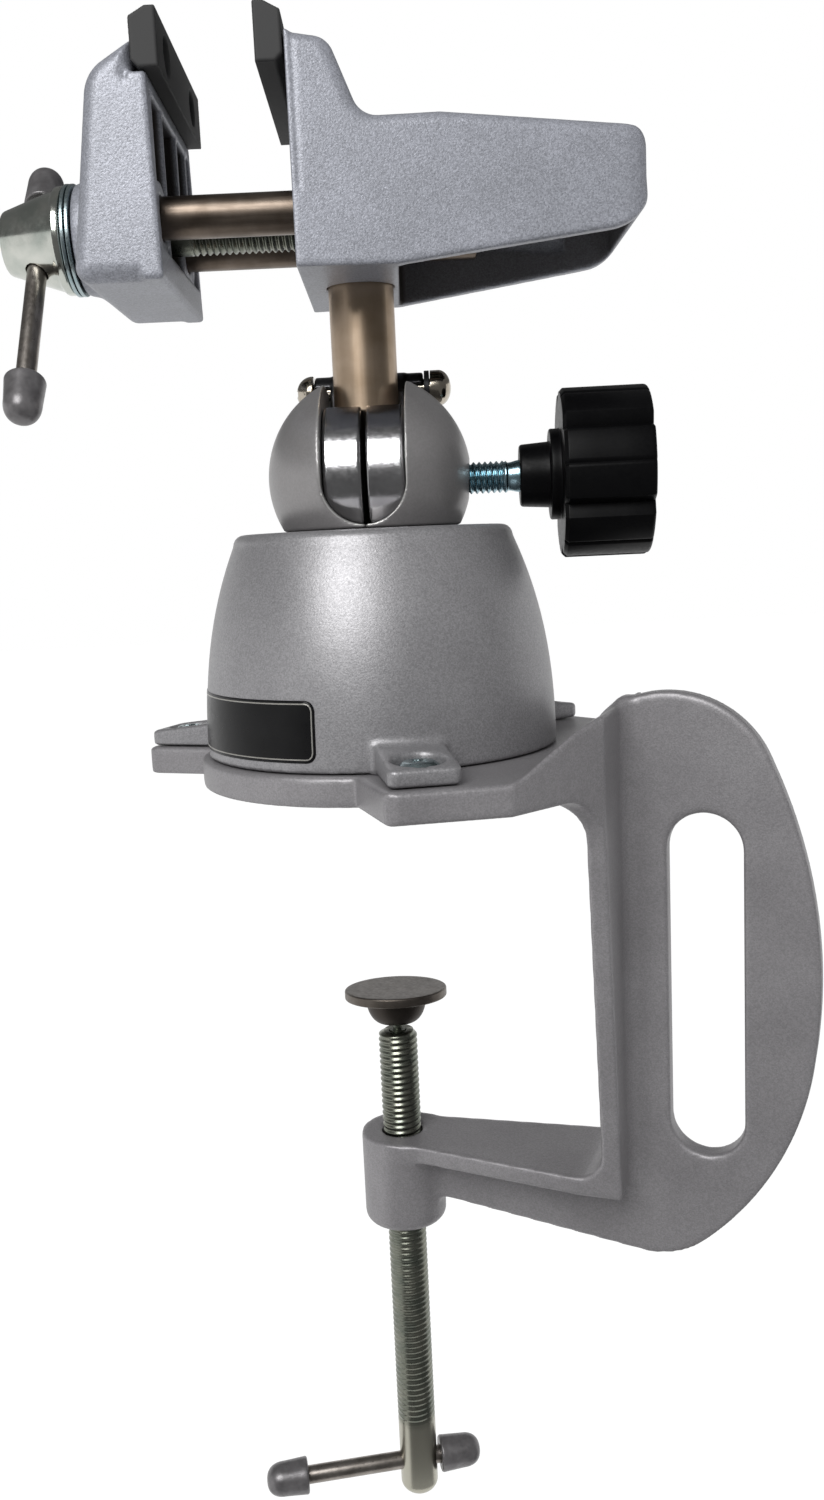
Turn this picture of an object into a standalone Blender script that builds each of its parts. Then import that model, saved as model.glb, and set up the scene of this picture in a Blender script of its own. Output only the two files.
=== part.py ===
"""Tilting bench vise on a clamp mount, built as separate solids in metres with +Z up.

The origin is the centre of the clamp plate's underside, where the vise meets the bench. X is the
direction in which the jaws open and Y is the jaws' width. Each empty is one joint of the vise: the
pieces below it are modelled in that joint's own frame.
"""

import math

import bmesh
import bpy
from mathutils import Matrix, Vector

MM = 0.001

# Clearances between pieces
SEAT = 0.3 * MM
RUNNING = 0.2 * MM

# Resting turns of the joints, in degrees
MOUNT_ANGLE_DEG = -21.0
BALL_ANGLE_DEG = -3.0
PAD_ANGLE_DEG = -6.0
CLAMP_BAR_ANGLE_DEG = 9.5
JAW_BAR_ANGLE_DEG = -34.0

# Round plan of the base, which plate, housing, ears and screws share
HOUSING_R = 44.2 * MM
PLATE_MARGIN = 1.8 * MM
PLATE_R = HOUSING_R + PLATE_MARGIN
BOLT_MARGIN = 11.8 * MM
BOLT_CIRCLE_R = HOUSING_R + BOLT_MARGIN
EAR_MARGIN = 8.0 * MM
EAR_END = BOLT_CIRCLE_R + EAR_MARGIN
BACK_EAR_MARGIN = 0.6 * MM
BACK_EAR_END = EAR_END + BACK_EAR_MARGIN
WING_EAR_MARGIN = 2.7 * MM
PLATE_EAR_END = EAR_END + WING_EAR_MARGIN

# Clamp mount: plate, C frame, rib and boss
PLATE_T = 7.2 * MM
PLATE_EAR_HALF = 9.1 * MM
PLATE_EAR_FLARE_DEG = 4.5
PLATE_WING_HALF = 18.0 * MM
EAR_CORNER_R = 2.0 * MM
THROAT = 97.4 * MM
FLANGE_INSET = 8.8 * MM
FLANGE_X = PLATE_EAR_END - FLANGE_INSET
FLANGE_T = 4.7 * MM
FLANGE_TOP_HALF = 22.6 * MM
FLANGE_LOW_HALF = 14.9 * MM
FLANGE_FLARE = 10.0 * MM
RAMP_RUN = 9.0 * MM
RAMP_FOOT_X = FLANGE_X - RAMP_RUN
FLANGE_RISE = 11.3 * MM
RAMP_RISE = 8.6 * MM
INNER_FILLET = 7.0 * MM
THROAT_FILLET = 10.0 * MM
ARM_BOSS_HALF = 9.2 * MM
RIB_T = 6.0 * MM
# Circles of the rib: x from the flange's inner face, z, and radius
RIB_CROWN = (15.0 * MM, -4.6 * MM, 25.7 * MM)
RIB_CROWN_ANGLES_DEG = (114.5, 21.0)
RIB_BACK = (-78.2 * MM, -47.9 * MM, 128.4 * MM)
RIB_BACK_ANGLES_DEG = (22.6, -7.4)
RIB_HEEL = (-28.7 * MM, -57.3 * MM, 78.1 * MM)
RIB_HEEL_ANGLES_DEG = (-9.5, -47.5)
RIB_TOE = (7.6 * MM, -100.2 * MM, 21.0 * MM)
RIB_TOE_ANGLES_DEG = (-52.0, -102.0)
RIB_BOSS_DEPTH = 16.0 * MM
SLOT_INSET = 23.6 * MM
SLOT_X = FLANGE_X + SLOT_INSET
SLOT_W = 17.8 * MM
SLOT_L = 85.6 * MM
SLOT_DROP = 7.7 * MM
BOSS_R = 10.9 * MM
BOSS_H = 25.0 * MM
BOSS_ROUND = 2.5 * MM

# Base housing and its screws
HOUSING_RIM_R = 34.9 * MM
HOUSING_RIM_Z = 51.5 * MM
HOUSING_CURVE = 2.4
HOUSING_H = 54.3 * MM
HOUSING_WALL = 3.5 * MM
HOUSING_ROOF = 6.0 * MM
EAR_COUNT = 3
EAR_HALF = 8.0 * MM
EAR_ROOT_H = 6.4 * MM
EAR_END_H = 3.9 * MM
COUNTERBORE_R = 5.9 * MM
COUNTERBORE_Z = 2.0 * MM
BASE_SCREW_R = 2.4 * MM
BASE_SCREW_HEAD_R = 5.0 * MM
BASE_SCREW_HEAD_H = 2.3 * MM
BASE_SCREW_L = 8.0 * MM

# Split ball
BALL_R = 25.1 * MM
BALL_RISE = 12.6 * MM
NECK_R = 19.2 * MM
LIP_R = 22.2 * MM
LIP_T = 3.0 * MM
SLOT_HALF = 10.0 * MM
SLOT_FLOOR_DROP = 1.5 * MM

# Split drum and its pinch bolt
DRUM_R = 19.6 * MM
DRUM_SLIT = 1.1 * MM
DRUM_FLAT = 16.5 * MM
PINCH_Y = 12.6 * MM
PINCH_Z = 22.4 * MM
PINCH_EAR_R = 4.2 * MM
PINCH_EAR_HALF = 13.8 * MM
PINCH_BOLT_R = 2.4 * MM
PINCH_HEAD_R = 4.4 * MM
PINCH_HEAD_H = 4.6 * MM
PINCH_WASHER_T = 1.2 * MM
PINCH_NUT_H = 5.2 * MM

# Locking knob
STUD_R = 3.9 * MM
STUD_DROP = 1.2 * MM
PLUG_R = 4.6 * MM
PLUG_T = 2.4 * MM
KNOB_TRAVEL = 4.0 * MM
HUB_START = 37.0 * MM
HUB_R = 7.5 * MM
HUB_L = 10.0 * MM
KNOB_R = 20.6 * MM
KNOB_L = 21.3 * MM
KNOB_LOBES = 6
KNOB_VALLEY = 2.8 * MM
KNOB_EDGE = 1.6 * MM

# Post and vise head
POST_R = 7.94 * MM
POST_FOOT = -14.5 * MM
HEAD_FLOOR = 44.0 * MM
HEAD_LIFT = 1.2 * MM
HEAD_FACE_X = -13.4 * MM
HEAD_TAIL_X = 66.6 * MM
PAD_W = 60.0 * MM
HEAD_SHY = 0.4 * MM
HEAD_FRONT_HALF = PAD_W / 2.0 - HEAD_SHY
HEAD_TAPER = 6.1 * MM
HEAD_TAIL_HALF = HEAD_FRONT_HALF - HEAD_TAPER
HEAD_WALL = 3.6 * MM
HEAD_EDGE = 2.2 * MM
HEAD_BLOCK_END = 9.4 * MM
HEAD_CORNER_R = 7.0 * MM
CROWN_X = -4.0 * MM
CROWN_DROP = 1.4 * MM
CROWN_R = 5.0 * MM
NECK_X = 2.4 * MM
NECK_FILLET = 4.0 * MM
HUMP_X = 20.0 * MM
HUMP_RISE = 0.6 * MM
BODY_TOP = 75.6 * MM
BODY_TAIL_TOP = 72.3 * MM
TAIL_FLOOR = 51.0 * MM
TAIL_BELLY_RISE = 8.3 * MM
TAIL_BELLY = TAIL_FLOOR + TAIL_BELLY_RISE
TAIL_R = 4.5 * MM
TAIL_BELLY_R = 9.0 * MM
TAIL_UNDERCUT = 4.0 * MM
JAW_TOP = 93.2 * MM
DRIVE_Z = 58.1 * MM
ROD_R = 4.7 * MM
ROD_INSET = 12.5 * MM
ROD_Y = PAD_W / 2.0 - ROD_INSET
ROD_END_X = 29.5 * MM
SCREW_R = 4.65 * MM

# Jaw pads
PAD_T = 6.0 * MM
PAD_FOOT = 86.4 * MM
PAD_H = 12.4 * MM
PAD_CHAMFER_X = 3.7 * MM
PAD_CHAMFER_Z = 2.0 * MM
PAD_HEEL = 1.6 * MM
PAD_HOLE_INSET = 12.5 * MM
PAD_HOLE_Y = PAD_W / 2.0 - PAD_HOLE_INSET
PAD_SCREW_R = 2.0 * MM
PAD_SCREW_HEAD_R = 3.8 * MM
PAD_SCREW_HEAD_H = 2.2 * MM
PAD_SCREW_L = 9.0 * MM
PAD_SCREW_SUNK = 1.2 * MM

# Moving jaw, measured from its inner face
JAW_GAP = 20.8 * MM
JAW_T = 19.6 * MM
JAW_CROWN_T = 13.6 * MM
JAW_CROWN_DROP = 6.3 * MM
JAW_CROWN_R = 6.0 * MM
JAW_HEEL_R = 3.5 * MM
JAW_TOE = 0.9 * MM
JAW_FLOOR_DROP = 1.2 * MM
JAW_REBATE = 3.1 * MM
JAW_SHY = 0.6 * MM
JAW_HALF = PAD_W / 2.0 - JAW_SHY
JAW_WALL = 3.4 * MM
JAW_RIB_T = 2.4 * MM
JAW_RIB_Y = 9.6 * MM
JAW_OUTER_RIB_INSET = 6.4 * MM
JAW_OUTER_RIB_Y = JAW_HALF - JAW_OUTER_RIB_INSET
JAW_SLEEVE_R = 8.0 * MM
JAW_CAVITY_FLOOR = 50.5 * MM
JAW_BOSS_R = 12.6 * MM
JAW_BOSS_L = 3.3 * MM
CLIP_SEAT = 11.6 * MM
CLIP_R = 7.2 * MM
CLIP_T = 1.2 * MM

# Handle cone and its bar
WASHER_R = 12.8 * MM
WASHER_T = 0.9 * MM
CONE_R = 12.4 * MM
CONE_TIP_R = 7.2 * MM
CONE_L = 15.6 * MM
CONE_BORE_L = 5.2 * MM
CONE_BAR_X = 7.6 * MM
CONE_RIM_L = 1.8 * MM
CONE_RIM_EDGE = 0.5 * MM
BAR_R = 2.1 * MM
CAP_R = 4.8 * MM
CAP_NOSE_R = 3.6 * MM
CAP_L = 11.4 * MM
CAP_BORE_L = 7.0 * MM
JAW_BAR_SPAN = 42.4 * MM
JAW_BAR_REST = 11.6 * MM

# Clamp screw, swivel pad and clamp bar
CLAMP_SCREW_R = 5.15 * MM
CLAMP_SCREW_TOP = -69.6 * MM
CLAMP_SCREW_L = 136.2 * MM
CLAMP_SCREW_END = 3.0 * MM
CLAMP_SCREW_EDGE = 1.0 * MM
CLAMP_NOSE_BORE_L = 6.0 * MM
STUD_NECK_R = 1.2 * MM
STUD_NECK_L = 3.1 * MM
STUD_ROOT_R = 2.2 * MM
STUD_BALL_R = 2.7 * MM
SWIVEL_R = 13.5 * MM
SWIVEL_RIM = 2.4 * MM
SWIVEL_EDGE = 0.6 * MM
SWIVEL_CUP_R = 8.0 * MM
SWIVEL_FOOT_R = 5.0 * MM
SWIVEL_SKIRT = 2.0 * MM
SWIVEL_CUP_H = 4.8 * MM
CLAMP_BAR_INSET = 9.7 * MM
CLAMP_BAR_DROP = CLAMP_SCREW_L - CLAMP_BAR_INSET
CLAMP_BAR_SPAN = 31.2 * MM
CLAMP_BAR_REST = 6.1 * MM

# Facets around full circles
FINE_ROUND = 40
ROUND = 32
MID_ROUND = 24
SMALL_ROUND = 14
CORNER_STEPS = 4
SMOOTH_ANGLE = math.radians(32.0)

# Places that follow from the sizes above
HOUSING_Z = PLATE_T + SEAT
HOUSING_TOP = HOUSING_Z + HOUSING_H
BALL_Z = HOUSING_TOP + BALL_RISE
ARM_TOP = -THROAT
ARM_LOW = -THROAT - FLANGE_T
FLANGE_BACK = FLANGE_X + FLANGE_T
DRUM_HALF = SLOT_HALF - SEAT
NECK_TOP = -BALL_RISE + SEAT
LIP_TOP = -BALL_RISE - HOUSING_ROOF - SEAT
FIXED_PAD_X = HEAD_FACE_X - SEAT
JAW_FACE_X = HEAD_FACE_X - PAD_T - SEAT - JAW_GAP - PAD_T - SEAT + JAW_REBATE


def material(name, hex_colour, roughness, metallic):
    """A plain Principled material from an sRGB hex colour."""
    channels = [int(hex_colour[i:i + 2], 16) / 255.0 for i in (1, 3, 5)]
    linear = [c / 12.92 if c <= 0.04045 else ((c + 0.055) / 1.055) ** 2.4 for c in channels]
    made = bpy.data.materials.new(name)
    made.use_nodes = True
    shader = made.node_tree.nodes["Principled BSDF"]
    shader.inputs["Base Color"].default_value = (*linear, 1.0)
    shader.inputs["Roughness"].default_value = roughness
    shader.inputs["Metallic"].default_value = metallic
    return made


def joint(name, parent=None, at=(0.0, 0.0, 0.0), turn=(0.0, 0.0, 0.0)):
    """An empty on a joint's axis, which carries the pieces that move with it."""
    empty = bpy.data.objects.new(name, None)
    empty.empty_display_size = 10.0 * MM
    empty.location = at
    empty.rotation_euler = [math.radians(angle) for angle in turn]
    empty.parent = parent
    bpy.context.scene.collection.objects.link(empty)
    return empty


def arc(centre, radius, start, end, steps):
    """Points on a circle from the start angle to the end angle, in degrees."""
    angles = [math.radians(start + (end - start) * i / steps) for i in range(steps + 1)]
    return [(centre[0] + radius * math.cos(a), centre[1] + radius * math.sin(a)) for a in angles]


def rounded(corners, steps=CORNER_STEPS):
    """A closed outline from corners of (u, v, radius), each rounded by its own radius."""
    outline = []
    for i, (u, v, radius) in enumerate(corners):
        corner = Vector((u, v))
        if radius == 0.0:
            outline.append(tuple(corner))
            continue
        before = (Vector(corners[i - 1][:2]) - corner).normalized()
        after = (Vector(corners[(i + 1) % len(corners)][:2]) - corner).normalized()
        half = before.angle(after) / 2.0
        centre = corner + (before + after).normalized() * (radius / math.sin(half))
        first = corner + before * (radius / math.tan(half)) - centre
        last = corner + after * (radius / math.tan(half)) - centre
        sweep = first.angle_signed(last)
        for k in range(steps + 1):
            outline.append(tuple(centre + Matrix.Rotation(-sweep * k / steps, 2) @ first))
    return outline


def capsule(half_width, low, high, steps=10):
    """An upright slot outline with round ends, around u = 0."""
    top = arc((0.0, high - half_width), half_width, 0.0, 180.0, steps)
    foot = arc((0.0, low + half_width), half_width, 180.0, 360.0, steps)
    return top + foot


PLACE = {
    "X": lambda u, v, w: (w, u, v),
    "Y": lambda u, v, w: (u, w, v),
    "Z": lambda u, v, w: (u, v, w),
}


def prism(outline, low, high, axis="Z"):
    """A straight extrusion of an outline between two levels of an axis."""
    bm = bmesh.new()
    ends = [[bm.verts.new(PLACE[axis](u, v, w)) for u, v in outline] for w in (low, high)]
    bm.faces.new(ends[0])
    bm.faces.new(ends[1])
    for i in range(len(outline)):
        k = (i + 1) % len(outline)
        bm.faces.new((ends[0][i], ends[0][k], ends[1][k], ends[1][i]))
    bmesh.ops.recalc_face_normals(bm, faces=bm.faces)
    return bm


def lathe(profile, steps=ROUND, axis="Z", phase=0.0):
    """A solid of revolution. The profile of (radius, level) is open from pole to pole, or a ring."""
    bm = bmesh.new()
    closed = profile[0][0] > 0.0
    rings = []
    for radius, level in profile:
        count = steps if radius > 0.0 else 1
        angles = [2.0 * math.pi * (i + phase) / steps for i in range(count)]
        spots = [PLACE[axis](radius * math.cos(a), radius * math.sin(a), level) for a in angles]
        rings.append([bm.verts.new(spot) for spot in spots])
    pairs = list(zip(rings, rings[1:])) + ([(rings[-1], rings[0])] if closed else [])
    for low, high in pairs:
        for i in range(steps):
            k = (i + 1) % steps
            corners = [low[i % len(low)], low[k % len(low)], high[k % len(high)], high[i % len(high)]]
            bm.faces.new(list(dict.fromkeys(corners)))
    bmesh.ops.recalc_face_normals(bm, faces=bm.faces)
    return bm


def rod(radius, low, high, axis="Z", steps=SMALL_ROUND, edge=0.0, at=(0.0, 0.0)):
    """A cylinder along an axis, with an optional chamfer on both ends."""
    profile = [(0.0, low), (radius - edge, low), (radius, low + edge)]
    profile += [(radius, high - edge), (radius - edge, high), (0.0, high)]
    if not edge:
        profile = [(0.0, low), (radius, low), (radius, high), (0.0, high)]
    bm = lathe(profile, steps, axis, 0.5)
    bmesh.ops.translate(bm, vec=PLACE[axis](at[0], at[1], 0.0), verts=bm.verts)
    return bm


def tube(inner, outer, low, high, axis="Z", steps=SMALL_ROUND):
    """A plain ring along an axis."""
    return lathe([(inner, low), (outer, low), (outer, high), (inner, high)], steps, axis)


def block(x, y, z):
    """A box between pairs of levels."""
    return prism([(x[0], y[0]), (x[1], y[0]), (x[1], y[1]), (x[0], y[1])], z[0], z[1])


def moved(bm, matrix):
    """The same solid, turned or shifted."""
    bmesh.ops.transform(bm, matrix=matrix, verts=bm.verts)
    return bm


def spun(bm, degrees, axis="Z"):
    """The same solid, turned about an axis through the local origin."""
    return moved(bm, Matrix.Rotation(math.radians(degrees), 4, axis))


def shifted(bm, x=0.0, y=0.0, z=0.0):
    """The same solid, shifted."""
    return moved(bm, Matrix.Translation((x, y, z)))


def scratch_object(bm):
    """A short-lived object that holds a solid for a Boolean."""
    mesh = bpy.data.meshes.new("scratch")
    bm.to_mesh(mesh)
    bm.free()
    made = bpy.data.objects.new("scratch", mesh)
    bpy.context.scene.collection.objects.link(made)
    return made


def combine(operation, target, *tools):
    """The Boolean of a solid with one or more others, as a new solid."""
    base = scratch_object(target)
    others = [scratch_object(tool) for tool in tools]
    for other in others:
        step = base.modifiers.new("step", "BOOLEAN")
        step.operation = operation
        step.solver = "EXACT"
        step.object = other
    graph = bpy.context.evaluated_depsgraph_get()
    result = bmesh.new()
    result.from_mesh(bpy.data.meshes.new_from_object(base.evaluated_get(graph)))
    for used in (base, *others):
        bpy.data.objects.remove(used)
    return result


def join(target, *tools):
    """The union of solids."""
    return combine("UNION", target, *tools)


def cut(target, *tools):
    """The first solid without the others."""
    return combine("DIFFERENCE", target, *tools)


def common(target, *tools):
    """The space that all the solids share."""
    return combine("INTERSECT", target, *tools)


def soften(bm, width, keep, segments=2):
    """Bevels the sharp edges whose middle the test keeps."""
    bmesh.ops.remove_doubles(bm, verts=bm.verts, dist=1e-6)
    edges = []
    for edge in bm.edges:
        sharp = len(edge.link_faces) == 2 and edge.calc_face_angle(0.0) > SMOOTH_ANGLE
        if sharp and keep((edge.verts[0].co + edge.verts[1].co) / 2.0):
            edges.append(edge)
    bmesh.ops.bevel(bm, geom=edges, offset=width, segments=segments, affect="EDGES", profile=0.5,
                    clamp_overlap=True)
    return bm


def piece(name, bm, finish, holder):
    """One named sub-part under its joint, shaded smooth across its round faces."""
    bmesh.ops.remove_doubles(bm, verts=bm.verts, dist=1e-6)
    bmesh.ops.dissolve_degenerate(bm, edges=bm.edges, dist=1e-6)
    bmesh.ops.triangulate(bm, faces=[f for f in bm.faces if len(f.verts) > 4])
    bmesh.ops.recalc_face_normals(bm, faces=bm.faces)
    mesh = bpy.data.meshes.new(name)
    bm.to_mesh(mesh)
    bm.free()
    mesh.materials.append(finish)
    for face in mesh.polygons:
        face.use_smooth = True
    mesh.set_sharp_from_angle(angle=SMOOTH_ANGLE)
    made = bpy.data.objects.new(name, mesh)
    made.parent = holder
    bpy.context.scene.collection.objects.link(made)
    return made


def ear_angles():
    """Directions of the three ears. The C frame's plane lies midway between two of them."""
    return [180.0 + 360.0 * i / EAR_COUNT for i in range(EAR_COUNT)]


def mirrored(corners):
    """A half outline from the back end to the front end, closed by its mirror image in y."""
    return corners + [(x, -y, *rest) for x, y, *rest in reversed(corners)]


def plate_plan():
    """Plan of the plate: a disc with one ear at the back and two that spread into the C frame."""
    half_ear = math.degrees(math.asin(PLATE_EAR_HALF / PLATE_R))
    rim = arc((0.0, 0.0), PLATE_R, 180.0 - half_ear, 60.0 + half_ear + PLATE_EAR_FLARE_DEG, 14)
    outward = Matrix.Rotation(math.radians(60.0), 2)
    ear_corner = outward @ Vector((PLATE_EAR_END, PLATE_EAR_HALF))
    wing_tip = outward @ Vector((PLATE_EAR_END, -PLATE_WING_HALF))
    return rounded(mirrored(
        [(-BACK_EAR_END, PLATE_EAR_HALF, EAR_CORNER_R)]
        + [(x, y, 0.0) for x, y in rim]
        + [(*ear_corner, EAR_CORNER_R), (*wing_tip, EAR_CORNER_R), (FLANGE_BACK, FLANGE_TOP_HALF, 0.0)]))


def clamp_plate():
    """The plate, with the ramp that climbs from its top to the back of the flange."""
    reach = 2.0 * PLATE_R
    top = PLATE_T + FLANGE_RISE
    above = prism([
        (-reach, PLATE_T),
        (RAMP_FOOT_X, PLATE_T),
        (FLANGE_X, PLATE_T + RAMP_RISE),
        (FLANGE_BACK, top),
        (reach, top),
        (reach, 2.0 * top),
        (-reach, 2.0 * top),
    ], -reach, reach, "Y")
    return cut(prism(plate_plan(), 0.0, top + RAMP_RISE), above)


def c_frame():
    """The flange and lower arm of the C, with filleted inner corners and tapered widths."""
    top_round = arc((FLANGE_X - THROAT_FILLET, -THROAT_FILLET), THROAT_FILLET, 90.0, 0.0, CORNER_STEPS)
    low_round = arc((FLANGE_X - INNER_FILLET, ARM_TOP + INNER_FILLET), INNER_FILLET, 0.0, -90.0,
                    CORNER_STEPS)
    upright = prism(
        [(FLANGE_X - THROAT_FILLET, PLATE_T / 2.0)] + top_round + low_round
        + [(FLANGE_X - INNER_FILLET, ARM_LOW), (FLANGE_BACK, ARM_LOW), (FLANGE_BACK, PLATE_T / 2.0)],
        -PLATE_R, PLATE_R, "Y")
    flare = arc((FLANGE_TOP_HALF + FLANGE_FLARE, -FLANGE_FLARE), FLANGE_FLARE, 180.0, 90.0, CORNER_STEPS)
    half = [(FLANGE_LOW_HALF, ARM_LOW - FLANGE_T), (FLANGE_LOW_HALF, ARM_TOP)] + flare
    half.append((FLANGE_TOP_HALF + FLANGE_FLARE, PLATE_T))
    taper = prism(half + [(-y, z) for y, z in reversed(half)], 0.0, PLATE_EAR_END, "X")
    under_plate = prism(plate_plan(), 2.0 * ARM_LOW, PLATE_T)
    arm = prism(mirrored([
        (0.0, ARM_BOSS_HALF),
        (FLANGE_BACK - FLANGE_T / 2.0, FLANGE_LOW_HALF),
    ]), ARM_LOW, ARM_TOP)
    return join(common(upright, taper, under_plate), arm)


def rib_arc(circle, span, steps):
    """One arc of the rib's outline, over a span of angles on a circle given from the flange."""
    x, z, radius = circle
    return arc((FLANGE_X + x, z), radius, *span, steps)


def back_rib():
    """The D shaped rib behind the flange and under the arm."""
    mid_flange = FLANGE_X + FLANGE_T / 2.0
    mid_arm = ARM_TOP - FLANGE_T / 2.0
    outline = rib_arc(RIB_CROWN, RIB_CROWN_ANGLES_DEG, 10)
    outline += rib_arc(RIB_BACK, RIB_BACK_ANGLES_DEG, 8)
    outline += rib_arc(RIB_HEEL, RIB_HEEL_ANGLES_DEG, 7)
    outline += rib_arc(RIB_TOE, RIB_TOE_ANGLES_DEG, 5)
    outline += [
        (BOSS_R / 2.0, ARM_TOP - RIB_BOSS_DEPTH),
        (BOSS_R / 2.0, mid_arm),
        (mid_flange, mid_arm),
        (mid_flange, PLATE_T + RAMP_RISE),
    ]
    return prism(outline, -RIB_T / 2.0, RIB_T / 2.0, "Y")


def clamp_frame(finish, holder):
    """The clamp casting: plate, C frame, slotted rib and the screw boss, with their holes."""
    boss = lathe([
        (0.0, ARM_TOP),
        (BOSS_R - BOSS_ROUND / 4.0, ARM_TOP),
        (BOSS_R, ARM_TOP - BOSS_ROUND / 4.0),
        (BOSS_R, ARM_TOP - BOSS_H + BOSS_ROUND),
        (BOSS_R - BOSS_ROUND * 0.3, ARM_TOP - BOSS_H + BOSS_ROUND * 0.3),
        (BOSS_R - BOSS_ROUND, ARM_TOP - BOSS_H),
        (0.0, ARM_TOP - BOSS_H),
    ])
    casting = join(clamp_plate(), c_frame(), back_rib(), boss)
    slot = capsule(SLOT_W / 2.0, -SLOT_DROP - SLOT_L, -SLOT_DROP)
    slot = prism([(SLOT_X + u, v) for u, v in slot], -RIB_T, RIB_T, "Y")
    thread = rod(CLAMP_SCREW_R + RUNNING, ARM_LOW - BOSS_H, ARM_TOP + BOSS_H, steps=ROUND)
    holes = [
        spun(rod(BASE_SCREW_R + RUNNING, -PLATE_T, 2.0 * PLATE_T, at=(BOLT_CIRCLE_R, 0.0)), angle)
        for angle in ear_angles()
    ]
    return piece("clamp_frame", cut(casting, slot, thread, *holes), finish, holder)


def housing_radius(level):
    """Outer radius of the housing at a height over its foot."""
    return HOUSING_R - (HOUSING_R - HOUSING_RIM_R) * (level / HOUSING_RIM_Z) ** HOUSING_CURVE


def base_housing(finish, holder):
    """The hollow domed housing with its three sloped ears and counterbored screw holes."""
    levels = [HOUSING_RIM_Z * i / 6 for i in range(7)]
    rim_round = HOUSING_H - HOUSING_RIM_Z
    outer = [(housing_radius(level), level) for level in levels]
    outer += arc((HOUSING_RIM_R - rim_round, HOUSING_RIM_Z), rim_round, 25.0, 90.0, 3)
    roof = HOUSING_H - HOUSING_ROOF
    inner = [(NECK_R + RUNNING, HOUSING_H), (NECK_R + RUNNING, roof)]
    inner += [(housing_radius(roof * i / 4) - HOUSING_WALL, roof * i / 4) for i in range(4, -1, -1)]
    shell = lathe(outer + inner, FINE_ROUND)
    ears = []
    holes = []
    for angle in ear_angles():
        root = HOUSING_R - HOUSING_WALL * 0.6
        ear = prism(rounded([
            (root, EAR_HALF, 0.0),
            (EAR_END, EAR_HALF, EAR_CORNER_R),
            (EAR_END, -EAR_HALF, EAR_CORNER_R),
            (root, -EAR_HALF, 0.0),
        ]), 0.0, EAR_ROOT_H)
        for vert in ear.verts:
            if vert.co.z > 0.0:
                share = (vert.co.x - root) / (EAR_END - root)
                vert.co.z += (EAR_END_H - EAR_ROOT_H) * share
        ears.append(spun(ear, angle))
        spot = (BOLT_CIRCLE_R, 0.0)
        head = rod(COUNTERBORE_R, COUNTERBORE_Z, HOUSING_R, steps=MID_ROUND, at=spot)
        shank = rod(BASE_SCREW_R + RUNNING, -PLATE_T, HOUSING_R, at=spot)
        holes += [spun(head, angle), spun(shank, angle)]
    housing = cut(join(shell, *ears), *holes)
    return piece("base_housing", shifted(housing, z=HOUSING_Z), finish, holder)


def base_screws(finish, holder):
    """The three screws that hold the housing on the clamp plate."""
    seat = HOUSING_Z + COUNTERBORE_Z + SEAT
    for number, angle in enumerate(ear_angles(), start=1):
        head = seat + BASE_SCREW_HEAD_H
        screw = lathe([
            (0.0, seat - BASE_SCREW_L),
            (BASE_SCREW_R * 0.7, seat - BASE_SCREW_L),
            (BASE_SCREW_R, seat - BASE_SCREW_L + BASE_SCREW_R * 0.3),
            (BASE_SCREW_R, seat),
            (BASE_SCREW_HEAD_R, seat),
            (BASE_SCREW_HEAD_R, head - BASE_SCREW_HEAD_H * 0.6),
            (BASE_SCREW_HEAD_R * 0.75, head - BASE_SCREW_HEAD_H * 0.15),
            (0.0, head),
        ], SMALL_ROUND)
        piece(f"base_screw_{number}", spun(shifted(screw, x=BOLT_CIRCLE_R), angle), finish, holder)


def split_ball(finish, holder):
    """The two ball halves: a shell around the drum, with a tilt slot and a retaining lip below."""
    foot = math.asin(NECK_TOP / BALL_R)
    sphere = arc((0.0, 0.0), BALL_R, 90.0, math.degrees(foot), 11)
    profile = [(0.0, BALL_R)] + sphere[1:]
    profile += [(NECK_R, NECK_TOP), (NECK_R, LIP_TOP), (LIP_R, LIP_TOP), (LIP_R, LIP_TOP - LIP_T)]
    profile += [(0.0, LIP_TOP - LIP_T)]
    cavity = rod(DRUM_R + SEAT, -SLOT_HALF, SLOT_HALF, "X", FINE_ROUND)
    slot = capsule(SLOT_HALF, -SLOT_FLOOR_DROP - SLOT_HALF, 3.0 * BALL_R)
    slot = prism(slot, -2.0 * BALL_R, 2.0 * BALL_R, "Y")
    plug_room = SLOT_HALF + PLUG_T + KNOB_TRAVEL + 2.0 * SEAT
    stud_at = (0.0, -STUD_DROP)
    stud_hole = rod(STUD_R + RUNNING, 0.0, 2.0 * BALL_R, "X", MID_ROUND, at=stud_at)
    plug_bore = rod(PLUG_R + RUNNING, 0.0, plug_room, "X", MID_ROUND, at=stud_at)
    reach = 2.0 * BALL_R
    for name, side in (("ball_half_left", -1.0), ("ball_half_right", 1.0)):
        near, far = sorted((side * SEAT / 2.0, side * reach))
        half = common(lathe(profile, FINE_ROUND), block((near, far), (-reach, reach), (-reach, reach)))
        tools = [cavity.copy(), slot.copy()]
        if side > 0.0:
            tools += [stud_hole, plug_bore]
        piece(name, cut(half, *tools), finish, holder)
    cavity.free()
    slot.free()


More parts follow.
